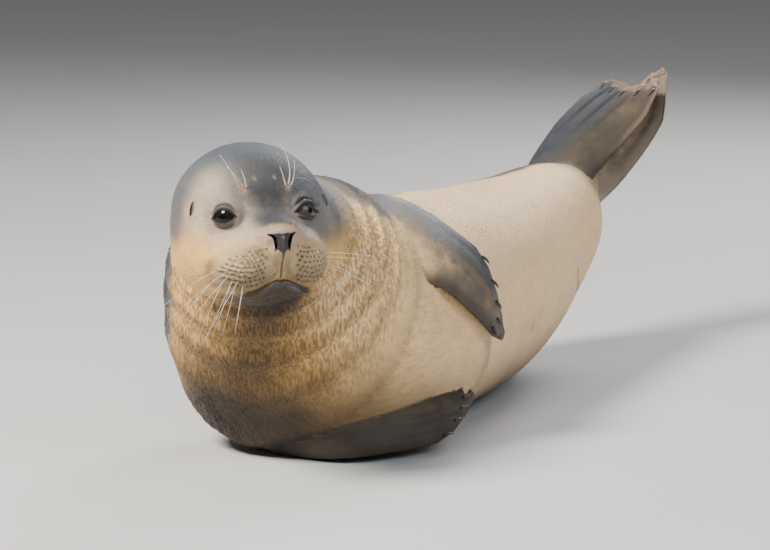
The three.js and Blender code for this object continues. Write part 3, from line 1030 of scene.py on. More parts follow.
# ------------------------------------------------------------------ markings
# The default of each marking's colour, in linear light, and what it colours.
PALETTE = {
    "chest": ((0.91, 0.63, 0.31), "Tan of the chest"),
    "golden": ((0.7, 0.4, 0.125), "Golden tan of the throat and cheeks"),
    "belly": ((0.86, 0.6, 0.335), "Cream-tan of the belly"),
    # Grey-brown low on the chest, darkened further as painted shade where the body faces down to the floor.
    "underside": ((0.028, 0.0195, 0.0125), "Grey-brown low on the chest"),
    # Grey-brown of the sides, also laid as painted shade in the crease beside the upper foreflipper.
    "flank": ((0.16, 0.14, 0.12), "Grey-brown of the sides and shoulders"),
    "back": ((0.062, 0.062, 0.064), "Grey of the upper sides"),
    "back_dark": ((0.036, 0.037, 0.041), "Dark grey along the back"),
    # Blue-grey of the crown, also laid as painted shade on the seal's left cheek and round the eyes.
    "crown": ((0.078, 0.09, 0.112), "Blue-grey of the crown"),
    "stripe": ((0.042, 0.044, 0.05), "Dark stripe between the eyes"),
    "face": ((0.4, 0.325, 0.24), "Pale grey-beige of the face"),
    "saddle": ((0.47, 0.325, 0.215), "Cream over the nose"),
    "pad": ((0.5, 0.365, 0.195), "Yellow-beige of the whisker pads"),
    # Whisker pits, darkened as painted shade in their hollows.
    "pit": ((0.045, 0.03, 0.02), "Dark whisker pits"),
    # Grey-brown of the chin, also laid as painted shade under the muzzle, under the whisker pads and at the
    # lower foreflipper's root.
    "chin": ((0.022, 0.016, 0.011), "Grey-brown of the chin"),
    # Painted shade: darker in the belly's navel and opening and in the groove under the nose.
    "crease": ((0.13, 0.09, 0.06), "Dark skin in the belly's creases"),
    # Dark lip line, also laid as painted shade in the mouth's groove and down the philtrum.
    "lip": ((0.018, 0.013, 0.012), "Dark lip line"),
    # Dark margin of the eyelids, also laid as painted shade in their creases.
    "lid": ((0.022, 0.018, 0.018), "Dark margin of the eyelids"),
    # Painted shade: the shadow under the chin, over darker coat there, and the shade in the neck's folds.
    "shaded": ((0.075, 0.048, 0.022), "Dark golden brown below the chin"),
    "ear": ((0.50, 0.31, 0.21), "Bare rim of the ear"),
    "leather": ((0.042, 0.04, 0.043), "Black leather of the nose"),
    # Painted shade: near black inside the nostrils and the ear's slit.
    "nostril": ((0.004, 0.0035, 0.0035), "Inside of the nostrils"),
    "flipper": ((0.085, 0.07, 0.054), "Dark grey-brown of the flippers"),
    "flipper_tan": ((0.22, 0.15, 0.085), "Tan patches of the flippers"),
    "rim": ((0.40, 0.27, 0.18), "Pale rim of the flippers"),
    "claw": ((0.045, 0.036, 0.032), "Dark horn of the claws"),
    "claw_tip": ((0.32, 0.25, 0.18), "Pale tips of the claws"),
}

# How far up the body, as a sine, the grey of the back begins on its left and right side.
BACK_EDGE = {
    "t": (0.04, 0.08, 0.106, 0.158, 0.196, 0.27, 0.4, 0.6, 0.75, 1.0),
    "left": (0.6, 0.38, 0.22, 0.02, 0.02, 0.42, 0.52, 0.46, 0.24, 0.05),
    "right": (0.3, -0.1, -0.16, -0.02, 0.1, 0.15, 0.2, 0.3, 0.3, 0.1),
}

# How light each flipper is at its root and at its tip, partly painted light: the upper foreflipper lightened
# where it faces the light, the lower one darkened as painted shade, and the far hind flipper lightened
# against the shadow of the near one; and how blue-grey and how tan it is.
FLIPPER_TONES_AND_LIGHT = {
    "foreflipper_left": (2.1, 0.78, 0.6, 0.75),
    "foreflipper_right": (0.75, 0.6, 0.0, 0.35),
    "hindflipper_left": (0.62, 0.95, 0.85, 0.35),
    "hindflipper_right": (3.0, 2.0, 0.2, 0.75),
}

# The dark skin at the root of the lower foreflipper, with painted shadow where the body meets the floor: its
# top edge at the seal's right end, how steeply the edge climbs, and the body's places at which the patch
# starts and stops.
ROOT_SKIN_AND_SHADOW = {"top": 27, "climb": 0.2, "from": -136, "fade": (-148, -126), "far": 200}


class Layers:
    """Colours of points, onto which shares of named colours are laid one after another."""

    def __init__(self, tone, colour, limit=1):
        self.tone, self.colour, self.limit = tone, colour, limit

    def lay(self, name, share):
        share = np.clip(share, 0, 1) * self.limit
        self.colour = mix(self.colour, self.tone[name], share[:, None])


def back_edge(t, sideways):
    left, right = (np.interp(t, BACK_EDGE["t"], BACK_EDGE[side]) for side in ("left", "right"))
    return np.where(sideways > 0, left, right)


def markings(colours, points, on_body, on_flipper):
    """Colour and bareness of skin or coat at points, from where they lie on the animal."""
    tone = {name: np.array(getattr(colours, name)[:3]) for name in PALETTE}
    q, share, furrow = on_body.T
    sideways, backward = np.cos(body_angle(share)), np.sin(body_angle(share))
    t = spine_place(q)
    local = in_head(points)
    patchy = noise(points, 90, 11) * 0.6 + noise(points, 35, 12) * 0.4
    fleck = noise(points, 14, 13)
    on_throat = throat(local, t, body_angle(share))
    coat = Layers(tone, np.broadcast_to(tone["chest"], points.shape))
    front_markings(coat, points, local, t, sideways, backward, on_throat, patchy)
    low_markings(coat, points, local, t, sideways, backward, patchy)
    back_markings(coat, t, sideways, backward, patchy, fleck)
    # Painted shade in the navel, the opening behind it and the crease beside the upper foreflipper.
    coat.lay("crease", 0.55 * hump(np.linalg.norm(points - np.array(NAVEL[0]), axis=-1), 6))
    coat.lay("crease", 0.7 * hump(near_line(points, OPENING[0]), 3.5))
    coat.lay("flank", 0.5 * hump(near_line(points, BELLY_CREASE[0]), 9))
    colour = head_markings(coat.colour, tone, local, t, patchy)
    # Painted light and shade on the throat's furrows: crests lighter, troughs darker.
    colour = colour * (1 + 0.16 * on_throat * np.clip(furrow, -1.2, 1))[:, None]
    bare = np.zeros(len(points))
    for number, name in enumerate(FLIPPERS, 1):
        here = on_flipper[:, 0] == number
        if here.any():
            own, shown = flipper_markings(tone, points[here], on_flipper[here], name)
            colour[here] = mix(colour[here], own, shown[:, None])
            bare[here] = 0.35 * ease(0.6, 0.95, on_flipper[here, 1])
    leather = np.where(t < 0.02, np.maximum(bare_nose(local), nostrils(local)), 0)
    return colour * (1 + 0.06 * fleck)[:, None], np.maximum(bare, leather)


def front_markings(coat, points, local, t, sideways, backward, on_throat, patchy):
    """Cream belly, golden throat and tan chest, paler on the neck's upper, left side partly as painted light;
    painted shade in the neck's folds, and painted shadow over darker coat under the chin.
    """
    coat.lay("belly", ease(0.2, 0.42, t + 0.05 * patchy))
    coat.lay("chest", 0.5 * ease(-0.1, 0.6, patchy) * ease(0.2, 0.4, t))
    coat.lay("flank", 0.10 * ease(0.0, 0.6, noise(points, (60, 90, 40), 14)) * ease(0.15, 0.3, t))
    coat.lay("golden", 0.95 * on_throat * ease(0.30, 0.16, t + 0.06 * (sideways + 0.4) + 0.03 * patchy))
    # Paler tan on the neck's upper, left side, partly painted light where it faces up into the light.
    coat.lay("chest", 0.8 * ease(0.05, 0.6, sideways) * ease(0.03, 0.08, t) * ease(0.34, 0.2, t))
    # Painted shade in the neck's soft folds.
    coat.lay("shaded", 0.085 * neck_rolls(points, t, 0.8) * ease(0.95, 0.5, backward))
    x, z = local[:, 0], local[:, 2]
    # Painted shadow under the chin, over a patch of darker coat there.
    chin_shadow_and_dark_coat = hump(x - 22 - 0.12 * (z + 110), 52) * ease(-80, -98, z + 6 * patchy)
    coat.lay("shaded", 0.85 * chin_shadow_and_dark_coat * ease(0.0, -0.5, backward) * ease(0.3, 0.2, t))


def low_markings(coat, points, local, t, sideways, backward, patchy):
    """Grey-brown low on the chest and belly, darkened as painted shade towards the floor; dark skin with
    painted shadow at the lower flipper's root; and the chin's grey-brown with painted shade under the muzzle.
    """
    x, y, z = points.T
    # Painted shade: the chest and belly darken low down towards the floor, most at the front of the chest.
    in_shadow = mix(0.75, 0.96, ease(-30, -110, x)) * ease(0.42, 0.2, t + 0.12 * sideways)
    coat.lay("underside", in_shadow * ease(170, 62, z + 22 * patchy))
    coat.lay("underside", 0.8 * ease(110, 15, z + 10 * patchy) * ease(0.3, 0.5, t))
    # The lower foreflipper's dark skin laid onto the body, deepened as painted shadow near the floor.
    top = ROOT_SKIN_AND_SHADOW["top"] + ROOT_SKIN_AND_SHADOW["climb"] * (x - ROOT_SKIN_AND_SHADOW["from"])
    coat.lay("chin", 0.95 * ease(4, -4, z - top) * ease(*ROOT_SKIN_AND_SHADOW["fade"], x) * (y < ROOT_SKIN_AND_SHADOW["far"]))
    # The chin's grey-brown, darkened as painted shade under the overhanging muzzle.
    chin = np.hypot((local[:, 0] - 18) / 46, (local[:, 2] + 104) / 25)
    coat.lay("chin", 0.9 * hump(chin, 0.95) * (local[:, 1] > -70) * (backward < 0.3))


def back_markings(coat, t, sideways, backward, patchy, fleck):
    """Grey that darkens from the flanks to the back, with faint flecks."""
    back = backward - back_edge(t, sideways) + 0.10 * patchy + 0.04 * fleck
    coat.lay("flank", ease(-0.10, 0.10, back) * ease(0.03, 0.08, t))
    coat.lay("back", ease(0.0, 0.30, back) * ease(0.03, 0.10, t))
    coat.lay("back_dark", ease(0.2, 0.7, back) * ease(0.05, 0.15, t) * (0.75 + 0.25 * patchy))
    flecks = ease(0.25, 0.6, fleck + 0.4 * patchy)
    coat.lay("back_dark", 0.3 * flecks * ease(0.0, 0.3, back) * ease(0.05, 0.15, t))
    coat.lay("flipper", 0.7 * ease(0.74, 0.9, t + 0.05 * backward + 0.03 * patchy))


def head_markings(colour, tone, local, t, patchy):
    """The colours with the head's own laid over them, down to the eyes, ears, nose and lips."""
    x, y, z = local.T
    out = np.abs(x)
    share = ease(0.1, 0.02, t)
    mottle = noise(local, 7, 44) + 0.6 * noise(local, 3, 45)
    head = Layers(tone, colour, share)
    # Golden cheeks, a pale face and a blue-grey crown that comes down behind the eyes; the crown's edge
    # slants lower towards the seal's left, and its grey on the seal's left cheek is painted shade on the side
    # away from the light.
    behind = np.minimum(y - mix(32, 20, ease(-20, 20, x)), 0)
    head.lay("golden", 0.9 * ease(-80, -50, z))
    head.lay("face", ease(-52, -6, z + 6 * patchy + 0.45 * behind - 4 * mottle))
    head.lay("crown", 0.97 * ease(18, 60, z + 6 * patchy - 0.1 * y + 0.30 * x + 5 * mottle))
    # Painted shade: blue-grey over the seal's left cheek.
    head.lay("crown", 0.65 * ease(12, 50, x) * ease(-50, -26, z) * ease(-30, 0, y))
    head.lay("crown", 0.9 * ease(10, -26, y + 6 * patchy) * ease(-50, -14, z))
    head.lay("crown", 0.5 * ease(62, 34, out) * ease(-4, 26, z))
    # The dark stripe between the eyes, widest on the brow, and two pale spots on it.
    head.lay("stripe", 0.9 * ease(30, 7, out + 2 * mottle) * ease(-30, -15, z) * ease(58, 22, z))
    head.lay("stripe", 0.7 * ease(52, 16, out) * ease(4, 28, z) * ease(84, 48, z))
    head.lay("stripe", 0.95 * ease(34, 14, out) * hump(z + 4, 11) * ease(20, 40, y))
    head.lay("face", 0.5 * hump(np.hypot(out - 12, z - 41), 2.2) * (y > 0))
    dome = ease(1.12, 0.85, dome_shape(local)) * ease(45, 58, y)
    head.lay("saddle", dome * ease(-40, -28, z) * ease(1, -9, z))
    pad_markings(head, local, out, y, z)
    mouth_markings(head, local, out, y, z)
    for side in (1, -1):
        dark, socket, crease, shade = eye_ring(local, side)
        # Painted shade round the eye and in the lids' creases.
        head.lay("crown", 0.65 * shade)
        head.lay("back_dark", 0.75 * socket)
        head.lay("lid", np.maximum(dark, 0.95 * np.clip(crease, 0, 1)))
    head.lay("ear", 0.8 * ear_rim(local))
    # Painted shade in the ear's slit.
    head.lay("nostril", ease(1.2, 0.9, ear_shape(local)))
    head.lay("saddle", 0.7 * hump(brow_distance(local), 4.5) * (y > -20))
    head.lay("leather", bare_nose(local))
    # Painted shade inside the nostrils.
    head.lay("nostril", nostrils(local))
    return head.colour * (1 + 0.07 * mottle * share)[:, None]


def pad_markings(head, local, out, y, z):
    """Yellow-beige pads, creamier above, with painted shade round and under their lower rim, and dark pits
    painted as shade in their hollows.
    """
    rim = pad_shape(local)
    front = ease(0, 14, y)
    head.lay("pad", ease(1.2, 0.85, rim) * front)
    head.lay("pad", ease(34, 20, out) * ease(-32, -42, z) * ease(-76, -66, z) * ease(20, 40, y))
    head.lay("saddle", 0.4 * ease(1.0, 0.5, rim) * ease(-58, -40, z) * front)
    # Painted shade in the crease round the pads' lower rim and on their lower part.
    head.lay("chin", 0.5 * hump(rim - 1.08, 0.13) * ease(-38, -52, z) * front)
    head.lay("chin", 0.45 * ease(-52, -70, z) * ease(1.1, 0.9, rim) * front)
    # Painted shade in the whisker pits.
    head.lay("pit", 0.95 * pits(local))


def mouth_markings(head, local, out, y, z):
    """Dark chin, partly painted shade under the muzzle; dark lip line with painted shade in the mouth's
    groove and down the philtrum; a grey lower lip; and painted shade in the groove under the nose.
    """
    below = z - mouth_line(local[:, 0])
    # The chin's grey-brown below the lips, partly painted shade under the muzzle.
    head.lay("chin", 0.95 * ease(1, -3, below) * ease(64, 34, out) * ease(-40, -10, y))
    head.lay("crown", 0.6 * hump(below + 5, 3.5) * ease(30, 18, out) * (y > 0))
    # The dark lip line, painted shade in the groove where the lips meet and down the philtrum.
    head.lay("lip", mouth_groove(local, 1.3))
    head.lay("lip", 0.9 * philtrum(local, 1.0))
    # Painted shade in the groove under the nose.
    head.lay("crease", 0.35 * philtrum(local, 5) * ease(-50, -40, z))


def eye_ring(local, side):
    """Shares of the lids' dark margin, the grey skin round them, the painted shade in the lids' creases and
    the soft painted shade round the eye.
    """
    far, before, a, b = on_eye(on_head(local), side)
    front = (before > 0.1 * far) & (far < 34)
    upper, lower = lid_lines(a, side)
    above, below = b - upper, lower - b
    off = np.maximum(np.maximum(above, below), 0)
    half = EYE_OPENING[side]["half"]
    beyond = np.maximum(np.abs(a) - half, 0)
    past = np.where(a > 0, LID_FOLD["past_outer"], LID_FOLD["past_inner"])
    thick = LID_FOLD["margin"] * np.where(below > 0, 0.7, 1.25)
    margin = ease(1.5, 0.7, np.hypot(off / thick, 1.5 * beyond / past))
    ends = ease(half + 1, half - 5, np.abs(a))
    socket = ends * np.maximum(hump(above - 2.5, 3.4), hump(below - 2.0, 2.4))
    upper_crease = ease(half + 4.5, half - 2, np.abs(a)) * hump(above - LID_FOLD["crease"], 1.6)
    crease = upper_crease + 0.7 * ends * hump(below - LID_FOLD["lower_crease"], 1.0)
    shade = hump(np.hypot(a / 22, (b - 2) / 14), 1) * ease(33, 20, far)
    return front * margin, front * socket, front * crease, front * shade


def flipper_markings(tone, points, place, name):
    """One flipper's own colours, with painted light and shade, and how far they replace the body's."""
    sigma, u = place[:, 1], np.cos(2 * math.pi * place[:, 2])
    hind = name.startswith("hind")
    patchy = noise(points, 26, 21) * 0.6 + noise(points, 9, 22) * 0.4
    root_shade, tip_shade, cool, tan = FLIPPER_TONES_AND_LIGHT[name]
    own = Layers(tone, tone["flipper"])
    # Blue-grey towards the last digit's edge: the hind flippers' own colour, and on the upper foreflipper
    # partly a painted highlight of its lit top.
    own.lay("crown", cool * ease(0.5 if hind else 0.1, -0.5, u + 0.3 * patchy))
    own.lay("flipper_tan", tan * hump(u - 0.35, 0.35) * ease(-0.5, 0.7, patchy))
    shade = mix(root_shade, tip_shade, ease(0.4, 1, sigma)) * (1 + 0.2 * patchy)
    # On the foreflippers, painted shade darkens the colour towards the first digit's edge.
    leading_edge_shade = 1 if hind else mix(1.0, 0.45, ease(0.55, 0.95, u))
    # Painted shade in the grooves of the webs between the digits.
    webs = np.cos(math.pi * (1 - u) * DIGITS / 2) ** 6 * ease(0.5, -0.1, u) * ease(0.35, 0.7, sigma)
    own.colour = own.colour * (shade * leading_edge_shade)[:, None] * (1 - (0.55 if hind else 0.15) * webs)[:, None]
    pale = 1 if hind else 0.25
    own.lay("rim", 0.35 * pale * ease(0.86, 0.98, np.abs(u)) * ease(0.3, 0.8, sigma))
    own.lay("rim", 0.5 * pale * ease(0.96, 1.0, sigma))
    start = 0.08 + 0.22 * ease(-0.3, 0.8, u) + 0.06 * patchy if name == "foreflipper_left" else 0
    return own.colour, ease(start, start + 0.25, sigma)


# ------------------------------------------------------------------ materials
def nodes_of(name):
    """A new material's node tree and its shader."""
    material = bpy.data.materials.new(name)
    material.use_nodes = True
    return material, material.node_tree, material.node_tree.nodes["Principled BSDF"]


def put(tree, socket, value):
    """Gives a socket its value, or links it to the socket that the value is."""
    if isinstance(value, bpy.types.NodeSocket):
        tree.links.new(value, socket)
    else:
        socket.default_value = value


def feed(tree, node, **inputs):
    """Gives a node its named inputs."""
    for key, value in inputs.items():
        put(tree, node.inputs[key.replace("_", " ")], value)


def add(tree, kind, settings=None, **inputs):
    """A node with its settings and its inputs."""
    node = tree.nodes.new(kind)
    for key, value in (settings or {}).items():
        setattr(node, key, value)
    feed(tree, node, **inputs)
    return node


def attribute(tree, name, socket="Fac"):
    return add(tree, "ShaderNodeAttribute", {"attribute_name": name}).outputs[socket]


def position(tree):
    return add(tree, "ShaderNodeNewGeometry").outputs["Position"]


def worked_out(tree, kind, operation, *values):
    """The outcome of a Math or Vector Math node on values or sockets."""
    node = add(tree, kind, {"operation": operation})
    for socket, value in zip(node.inputs, values):
        put(tree, socket, value)
    return node.outputs[0]


def scaled(tree, place, scale):
    """A place multiplied on each axis."""
    return worked_out(tree, "ShaderNodeVectorMath", "MULTIPLY", place, scale)


def noise_value(tree, place, scale, detail=3.0, roughness=0.6):
    node = add(tree, "ShaderNodeTexNoise", Vector=place, Scale=scale, Detail=detail, Roughness=roughness)
    return node.outputs["Fac"]


def ranged(tree, value, low, high, start=0.0, stop=1.0):
    """A value from start to stop spread over low to high."""
    ends = {"From_Min": start, "From_Max": stop, "To_Min": low, "To_Max": high}
    return add(tree, "ShaderNodeMapRange", Value=value, **ends).outputs["Result"]


def tinted(tree, colour, value):
    """A colour multiplied by a number."""
    node = add(tree, "ShaderNodeVectorMath", {"operation": "SCALE"}, Scale=value)
    put(tree, node.inputs[0], colour)
    return node.outputs[0]


def ramp(tree, value, first, last):
    """A colour between two, by a value."""
    node = add(tree, "ShaderNodeValToRGB", Fac=value)
    for element, colour in zip(node.color_ramp.elements, (first, last)):
        element.color = (*colour, 1)
    return node.outputs["Color"]


def bump(tree, height, strength, distance, **under):
    """Relief of a height, over the relief under it."""
    node = add(tree, "ShaderNodeBump", Height=height, Strength=strength, Distance=distance, **under)
    return node.outputs[0]


# The coat's faint cool sheen.
SHEEN = {"Sheen_Roughness": 0.4, "Sheen_Tint": (0.86, 0.92, 1.0, 1.0)}


def throat_locks(tree, place):
    """The light on the throat's locks: about 1, less in the furrows between, and 1 elsewhere."""
    waves = noise_value(tree, scaled(tree, place, (330, 330, 88)), 1.0, 1.2)
    lit = ranged(tree, waves, 0.58, 1.16, 0.40, 0.57)
    lift = worked_out(tree, "ShaderNodeMath", "SUBTRACT", lit, 1.0)
    return worked_out(tree, "ShaderNodeMath", "MULTIPLY_ADD", attribute(tree, "Throat"), lift, 1.0)


def fur_skin():
    """Short sleek fur: fine hairs along the lie of the coat, smoother where the skin is bare."""
    material, tree, shader = nodes_of("sealskin")
    lie = add(tree, "ShaderNodeUVMap", {"uv_map": "Lie"}).outputs["UV"]
    place = position(tree)
    hairs = noise_value(tree, scaled(tree, lie, (130, 1100, 0)), 1.0, 4.0)
    clumps = noise_value(tree, scaled(tree, lie, (70, 300, 0)), 1.0, 3.0)
    grain = noise_value(tree, place, 900.0, 2.0)
    locks = throat_locks(tree, place)
    furrowed = tinted(tree, attribute(tree, "Coat", "Color"), locks)
    soft = bump(tree, clumps, 0.5, 0.0015)
    wavy = bump(tree, locks, 0.8, 0.002, Normal=soft)
    fine = bump(tree, hairs, 0.35, 0.0005, Normal=wavy)
    feed(
        tree,
        shader,
        Base_Color=tinted(tree, furrowed, ranged(tree, hairs, 0.8, 1.2)),
        Roughness=ranged(tree, attribute(tree, "Bare"), 0.58, 0.3),
        Normal=bump(tree, grain, 0.3, 0.0004, Normal=fine),
        Specular_IOR_Level=0.28,
        Sheen_Weight=0.04,
        **SHEEN,
    )
    return material


def grained(name, scale, detail, tint, roughness, relief=0.0, locks=False, **constants):
    """A painted surface whose grain varies its colour and roughness, and may stand in relief."""
    material, tree, shader = nodes_of(name)
    colour = attribute(tree, "Coat", "Color")
    place = position(tree)
    grain = noise_value(tree, place, scale, detail)
    if locks:
        colour = tinted(tree, colour, throat_locks(tree, place))
    if relief:
        constants["Normal"] = bump(tree, grain, relief, 0.0003)
    shown = tinted(tree, colour, ranged(tree, grain, *tint))
    feed(tree, shader, Base_Color=shown, Roughness=ranged(tree, grain, *roughness), **constants)
    return material


def fur_tufts():
    """The coat's tufts, with the skin's markings and a little of their own light and shade."""
    look = {"Specular_IOR_Level": 0.25, "Sheen_Weight": 0.05, **SHEEN}
    return grained("seal_coat", 500.0, 2.0, (0.86, 1.14), (0.42, 0.58), relief=0.2, locks=True, **look)


def lid_skin():
    """Moist bare skin of the eyelids' margins."""
    return grained("seal_lid", 700.0, 2.0, (0.8, 1.2), (0.32, 0.5), Specular_IOR_Level=0.15)


def claw_horn():
    """Dark horn that pales towards the tip, with a fine grain."""
    return grained("seal_claw", 800.0, 3.0, (0.75, 1.25), (0.2, 0.38), relief=0.25)


def eye_glass():
    """A wet, nearly black eye with a dark brown iris round a wide pupil."""
    material, tree, shader = nodes_of("seal_eye")
    streaks = noise_value(tree, position(tree), 350.0, 3.0)
    iris = worked_out(
        tree, "ShaderNodeMath", "MULTIPLY", attribute(tree, "Iris"), ranged(tree, streaks, 0.6, 1.2)
    )
    feed(
        tree,
        shader,
        Base_Color=ramp(tree, iris, (0.0025, 0.002, 0.002), (0.085, 0.066, 0.046)),
        Roughness=ranged(tree, streaks, 0.10, 0.16),
        Specular_IOR_Level=0.2,
        Coat_Weight=0.2,
        Coat_Roughness=0.06,
        Coat_IOR=1.376,
    )
    return material


def whisker_horn():
    """Pale smooth whiskers."""
    material, tree, shader = nodes_of("seal_whisker")
    grain = noise_value(tree, position(tree), 220.0, 2.0)
    pale = ramp(tree, grain, (0.62, 0.54, 0.44), (0.92, 0.89, 0.82))
    feed(tree, shader, Base_Color=pale, Roughness=ranged(tree, grain, 0.25, 0.4))
    return material


def stage_paint():
    """Plain pale studio floor."""
    material, tree, shader = nodes_of("studio_floor")
    grain = noise_value(tree, position(tree), 3.0, 2.0)
    pale = ramp(tree, grain, (0.56, 0.56, 0.57), (0.60, 0.60, 0.61))
    feed(tree, shader, Base_Color=pale, Roughness=0.75)
    return material


# ------------------------------------------------------------------ eyes
# How far the eyeball lies inside its solid, and the cornea's height and width in radians.
EYE_INSET, CORNEA = 0.3, (1.1, 0.5)
EYE_RINGS, EYE_SIDES = 49, 64


def eyeball(side):
    """Rings of an eyeball with its cornea, and how much of each ring is iris."""
    centre, outer, up, way = eye_axes(side)
    open_ = np.linspace(0, math.pi, EYE_RINGS)
    turn = np.linspace(0, 2 * math.pi, EYE_SIDES, endpoint=False)
    reach = EYE_RADIUS - EYE_INSET + CORNEA[0] * hump(open_, CORNEA[1])
    out = outer * np.cos(turn)[:, None] + up * np.sin(turn)[:, None]
    ray = way * np.cos(open_)[:, None, None] + out * np.sin(open_)[:, None, None]
    # The lit eye's brown is painted light.
    iris = IRIS_IN_LIGHT[side] * ease(0.98, 0.88, open_) * ease(0.14, 0.28, open_)
    return centre + ray * reach[:, None, None], np.repeat(iris[1:-1], len(turn))


# Points round the lids' opening and round the tube that edges it, and how far it stands out.
LID_STEPS, LID_SIDES, LID_STANDS = 72, 10, 0.7


def lid_margin(side):
    """Points round the lids' opening, the ways out through them, and which are on the lower lid."""
    swing = np.linspace(0, 2 * math.pi, LID_STEPS, endpoint=False)
    a = EYE_OPENING[side]["half"] * np.cos(swing)
    upper, lower = lid_lines(a, side)
    ray = eye_ray(a, np.where(np.sin(swing) > 0, upper, lower), side)
    return EYES[side] + ray * (EYE_RADIUS + LID_STANDS), ray, np.sin(swing) <= 0


def rings_round(line, across, other, radius, sides):
    """Circles round the points of a line, in the plane of two directions."""
    turn = np.linspace(0, 2 * math.pi, sides, endpoint=False)
    c, s = np.cos(turn)[None, :, None], np.sin(turn)[None, :, None]
    return line[:, None] + (across[:, None] * c + other[:, None] * s) * radius[:, None, None]


def loop_tube(line, across, radius, sides):
    """Points and faces of a tube round a closed line."""
    way = unit(np.roll(line, -1, axis=0) - np.roll(line, 1, axis=0))
    points = rings_round(line, across, unit(np.cross(way, across)), radius, sides)
    index = np.arange(len(line) * sides).reshape(len(line), sides)
    on = np.roll(index, -1, axis=0)
    quads = np.stack([index, on, np.roll(on, -1, axis=1), np.roll(index, -1, axis=1)], axis=-1)
    return points.reshape(-1, 3), quads.reshape(-1, 4)


# ------------------------------------------------------------------ horns: whiskers and claws
# How many whiskers a pad has, how far out on it they stand by turns, their place round it and their
# lean from the highest to the lowest on each side, and how thick they are.
WHISKERS = {
    "count": 11,
    "rim": (0.92, 0.72),
    "swing": {1: (0.35, -1.25), -1: (-0.05, -1.45)},
    "lean": {1: (0.15, -1.25), -1: (-0.35, -1.35)},
    "thick": 0.26,
}
# How deep in the skin a whisker starts, its points and sides, and how it narrows to its tip.
WHISKER_ROOT = 1.5
WHISKER_POINTS, WHISKER_SIDES = 16, 6
WHISKER_TIP, WHISKER_TAPER = 0.12, 0.7

# Bristles over each eye: outward and upward place, outward lean, length and bend.
BROW_BRISTLES = {
    1: ((1, 1, 0.16, 52, -0.36), (4, 0, 0.28, 30, -0.12), (-4, 0, -0.28, 24, -0.02)),
    -1: ((3, 0, 0.48, 46, 0.1), (0, 2, 0.66, 29, 0.08), (-4, 1, 0.24, 22, 0.05)),
}
BRISTLE_THICK = 0.75

# A claw's start along its digit, its width for its length, how slim it is beside its solid, the
# share of its length it runs through, its rise and curl, and its rings and sides.
CLAW = {
    "start": 0.9,
    "width": 0.24,
    "slim": 0.94,
    "span": (-0.2, 0.99),
    "rise": 0.16,
    "curl": 0.26,
    "rings": 14,
    "sides": 12,
}
# How much lighter the claws of the hind flippers are.
HIND_CLAW_LIGHT = 2.2


def horn(line, radius, across, sides):
    """Rings of a tapering horn along a line."""
    way = unit(np.gradient(line, axis=0))
    other = unit(np.cross(way, across))
    rings = rings_round(line, unit(np.cross(other, way)), other, radius, sides)
    return np.concatenate([line[None, :1] + rings[:1] * 0, rings, line[None, -1:] + rings[-1:] * 0])


def gathered(grids):
    """One mesh's points and faces from several closed grids of rings."""
    points, quads, caps, start = [], [], [], 0
    for grid in grids:
        own, (quad, first, last) = rings_mesh(grid)
        points.append(own)
        quads.append(quad + start)
        caps += [first + start, last + start]
        start += len(own)
    return np.vstack(points), [np.vstack(quads), np.vstack(caps)]


def whisker_line(root, way, drop, length):
    """A whisker's line: it leaves along way and bends by drop over its length."""
    s = np.linspace(0, 1, WHISKER_POINTS)[:, None]
    return root + length * (way * s + drop * s**2)


def face_root(body, x, z):
    """The face's point and normal at a place to its left and up."""
    face = body.q < FACE_RINGS
    points = body.points[face].reshape(-1, 3)
    local = in_head(points)
    off = np.hypot(local[:, 0] - x, local[:, 2] - z) + 1000 * (local[:, 1] < 0)
    best = int(np.argmin(off))
    return points[best], body.normal[face].reshape(-1, 3)[best]


def pad_whiskers(body, props):
    """Lines and thicknesses of the whiskers round the outer and lower rim of both pads."""
    rng = np.random.default_rng(5)
    for side in (1, -1):
        left, forward, up = HEAD_AXES[0] * side, HEAD_AXES[1], HEAD_AXES[2]
        for number in range(WHISKERS["count"]):
            share = (number + rng.uniform(-0.3, 0.3)) / (WHISKERS["count"] - 1)
            swing = mix(*WHISKERS["swing"][side], share)
            rim = WHISKERS["rim"][number % 2]
            place = PAD["at"] + np.multiply(PAD["half"], (math.cos(swing), math.sin(swing))) * rim
            root, normal = face_root(body, side * place[0], place[1])
            lean = mix(*WHISKERS["lean"][side], share) + rng.normal(0, 0.08)
            way = unit(normal * 0.3 + left * math.cos(lean) + up * math.sin(lean) + forward * 0.15)
            length = props.whisker_length / METRES * (1 - 0.45 * share) * rng.uniform(0.7, 1.05)
            drop = -up * rng.uniform(0.05, 0.28) - forward * rng.uniform(0.1, 0.2)
            yield whisker_line(root - normal * WHISKER_ROOT, way, drop, length), WHISKERS["thick"]


def brow_whiskers(body):
    """Lines and thicknesses of the stout bristles over each eye."""
    for side, bristles in BROW_BRISTLES.items():
        left, forward, up = HEAD_AXES[0] * side, HEAD_AXES[1], HEAD_AXES[2]
        for out, high, lean, length, bend in bristles:
            root, normal = face_root(body, side * (BROW["at"][0] + out), BROW["at"][1] + high)
            way = unit(up + left * lean + forward * 0.4)
            drop = left * bend - forward * 0.3
            yield whisker_line(root - normal * WHISKER_ROOT, way, drop, length), BRISTLE_THICK


def claw_rings(flipper, digit):
    """Rings of one claw, and how far along it each lies."""
    start, length = CLAW["start"], flipper.sizes["claw"]
    base = flipper.point(np.array(start), np.array(1 - (2 * digit + 1) / DIGITS), 1)
    _, way, first, out = flipper.frame(np.array(start * flipper.sizes["reach"][digit]))
    s = np.linspace(*CLAW["span"], CLAW["rings"])
    line = base + length * (way * s[:, None] + out * (CLAW["rise"] * s - CLAW["curl"] * s * s)[:, None])
    taper = np.sqrt(np.clip(1 - np.clip(s, 0, 1) ** 2, 0, 1))
    radius = CLAW["width"] / 2 * length * taper * CLAW["slim"]
    return horn(line, radius, np.broadcast_to(first, line.shape), CLAW["sides"]), s


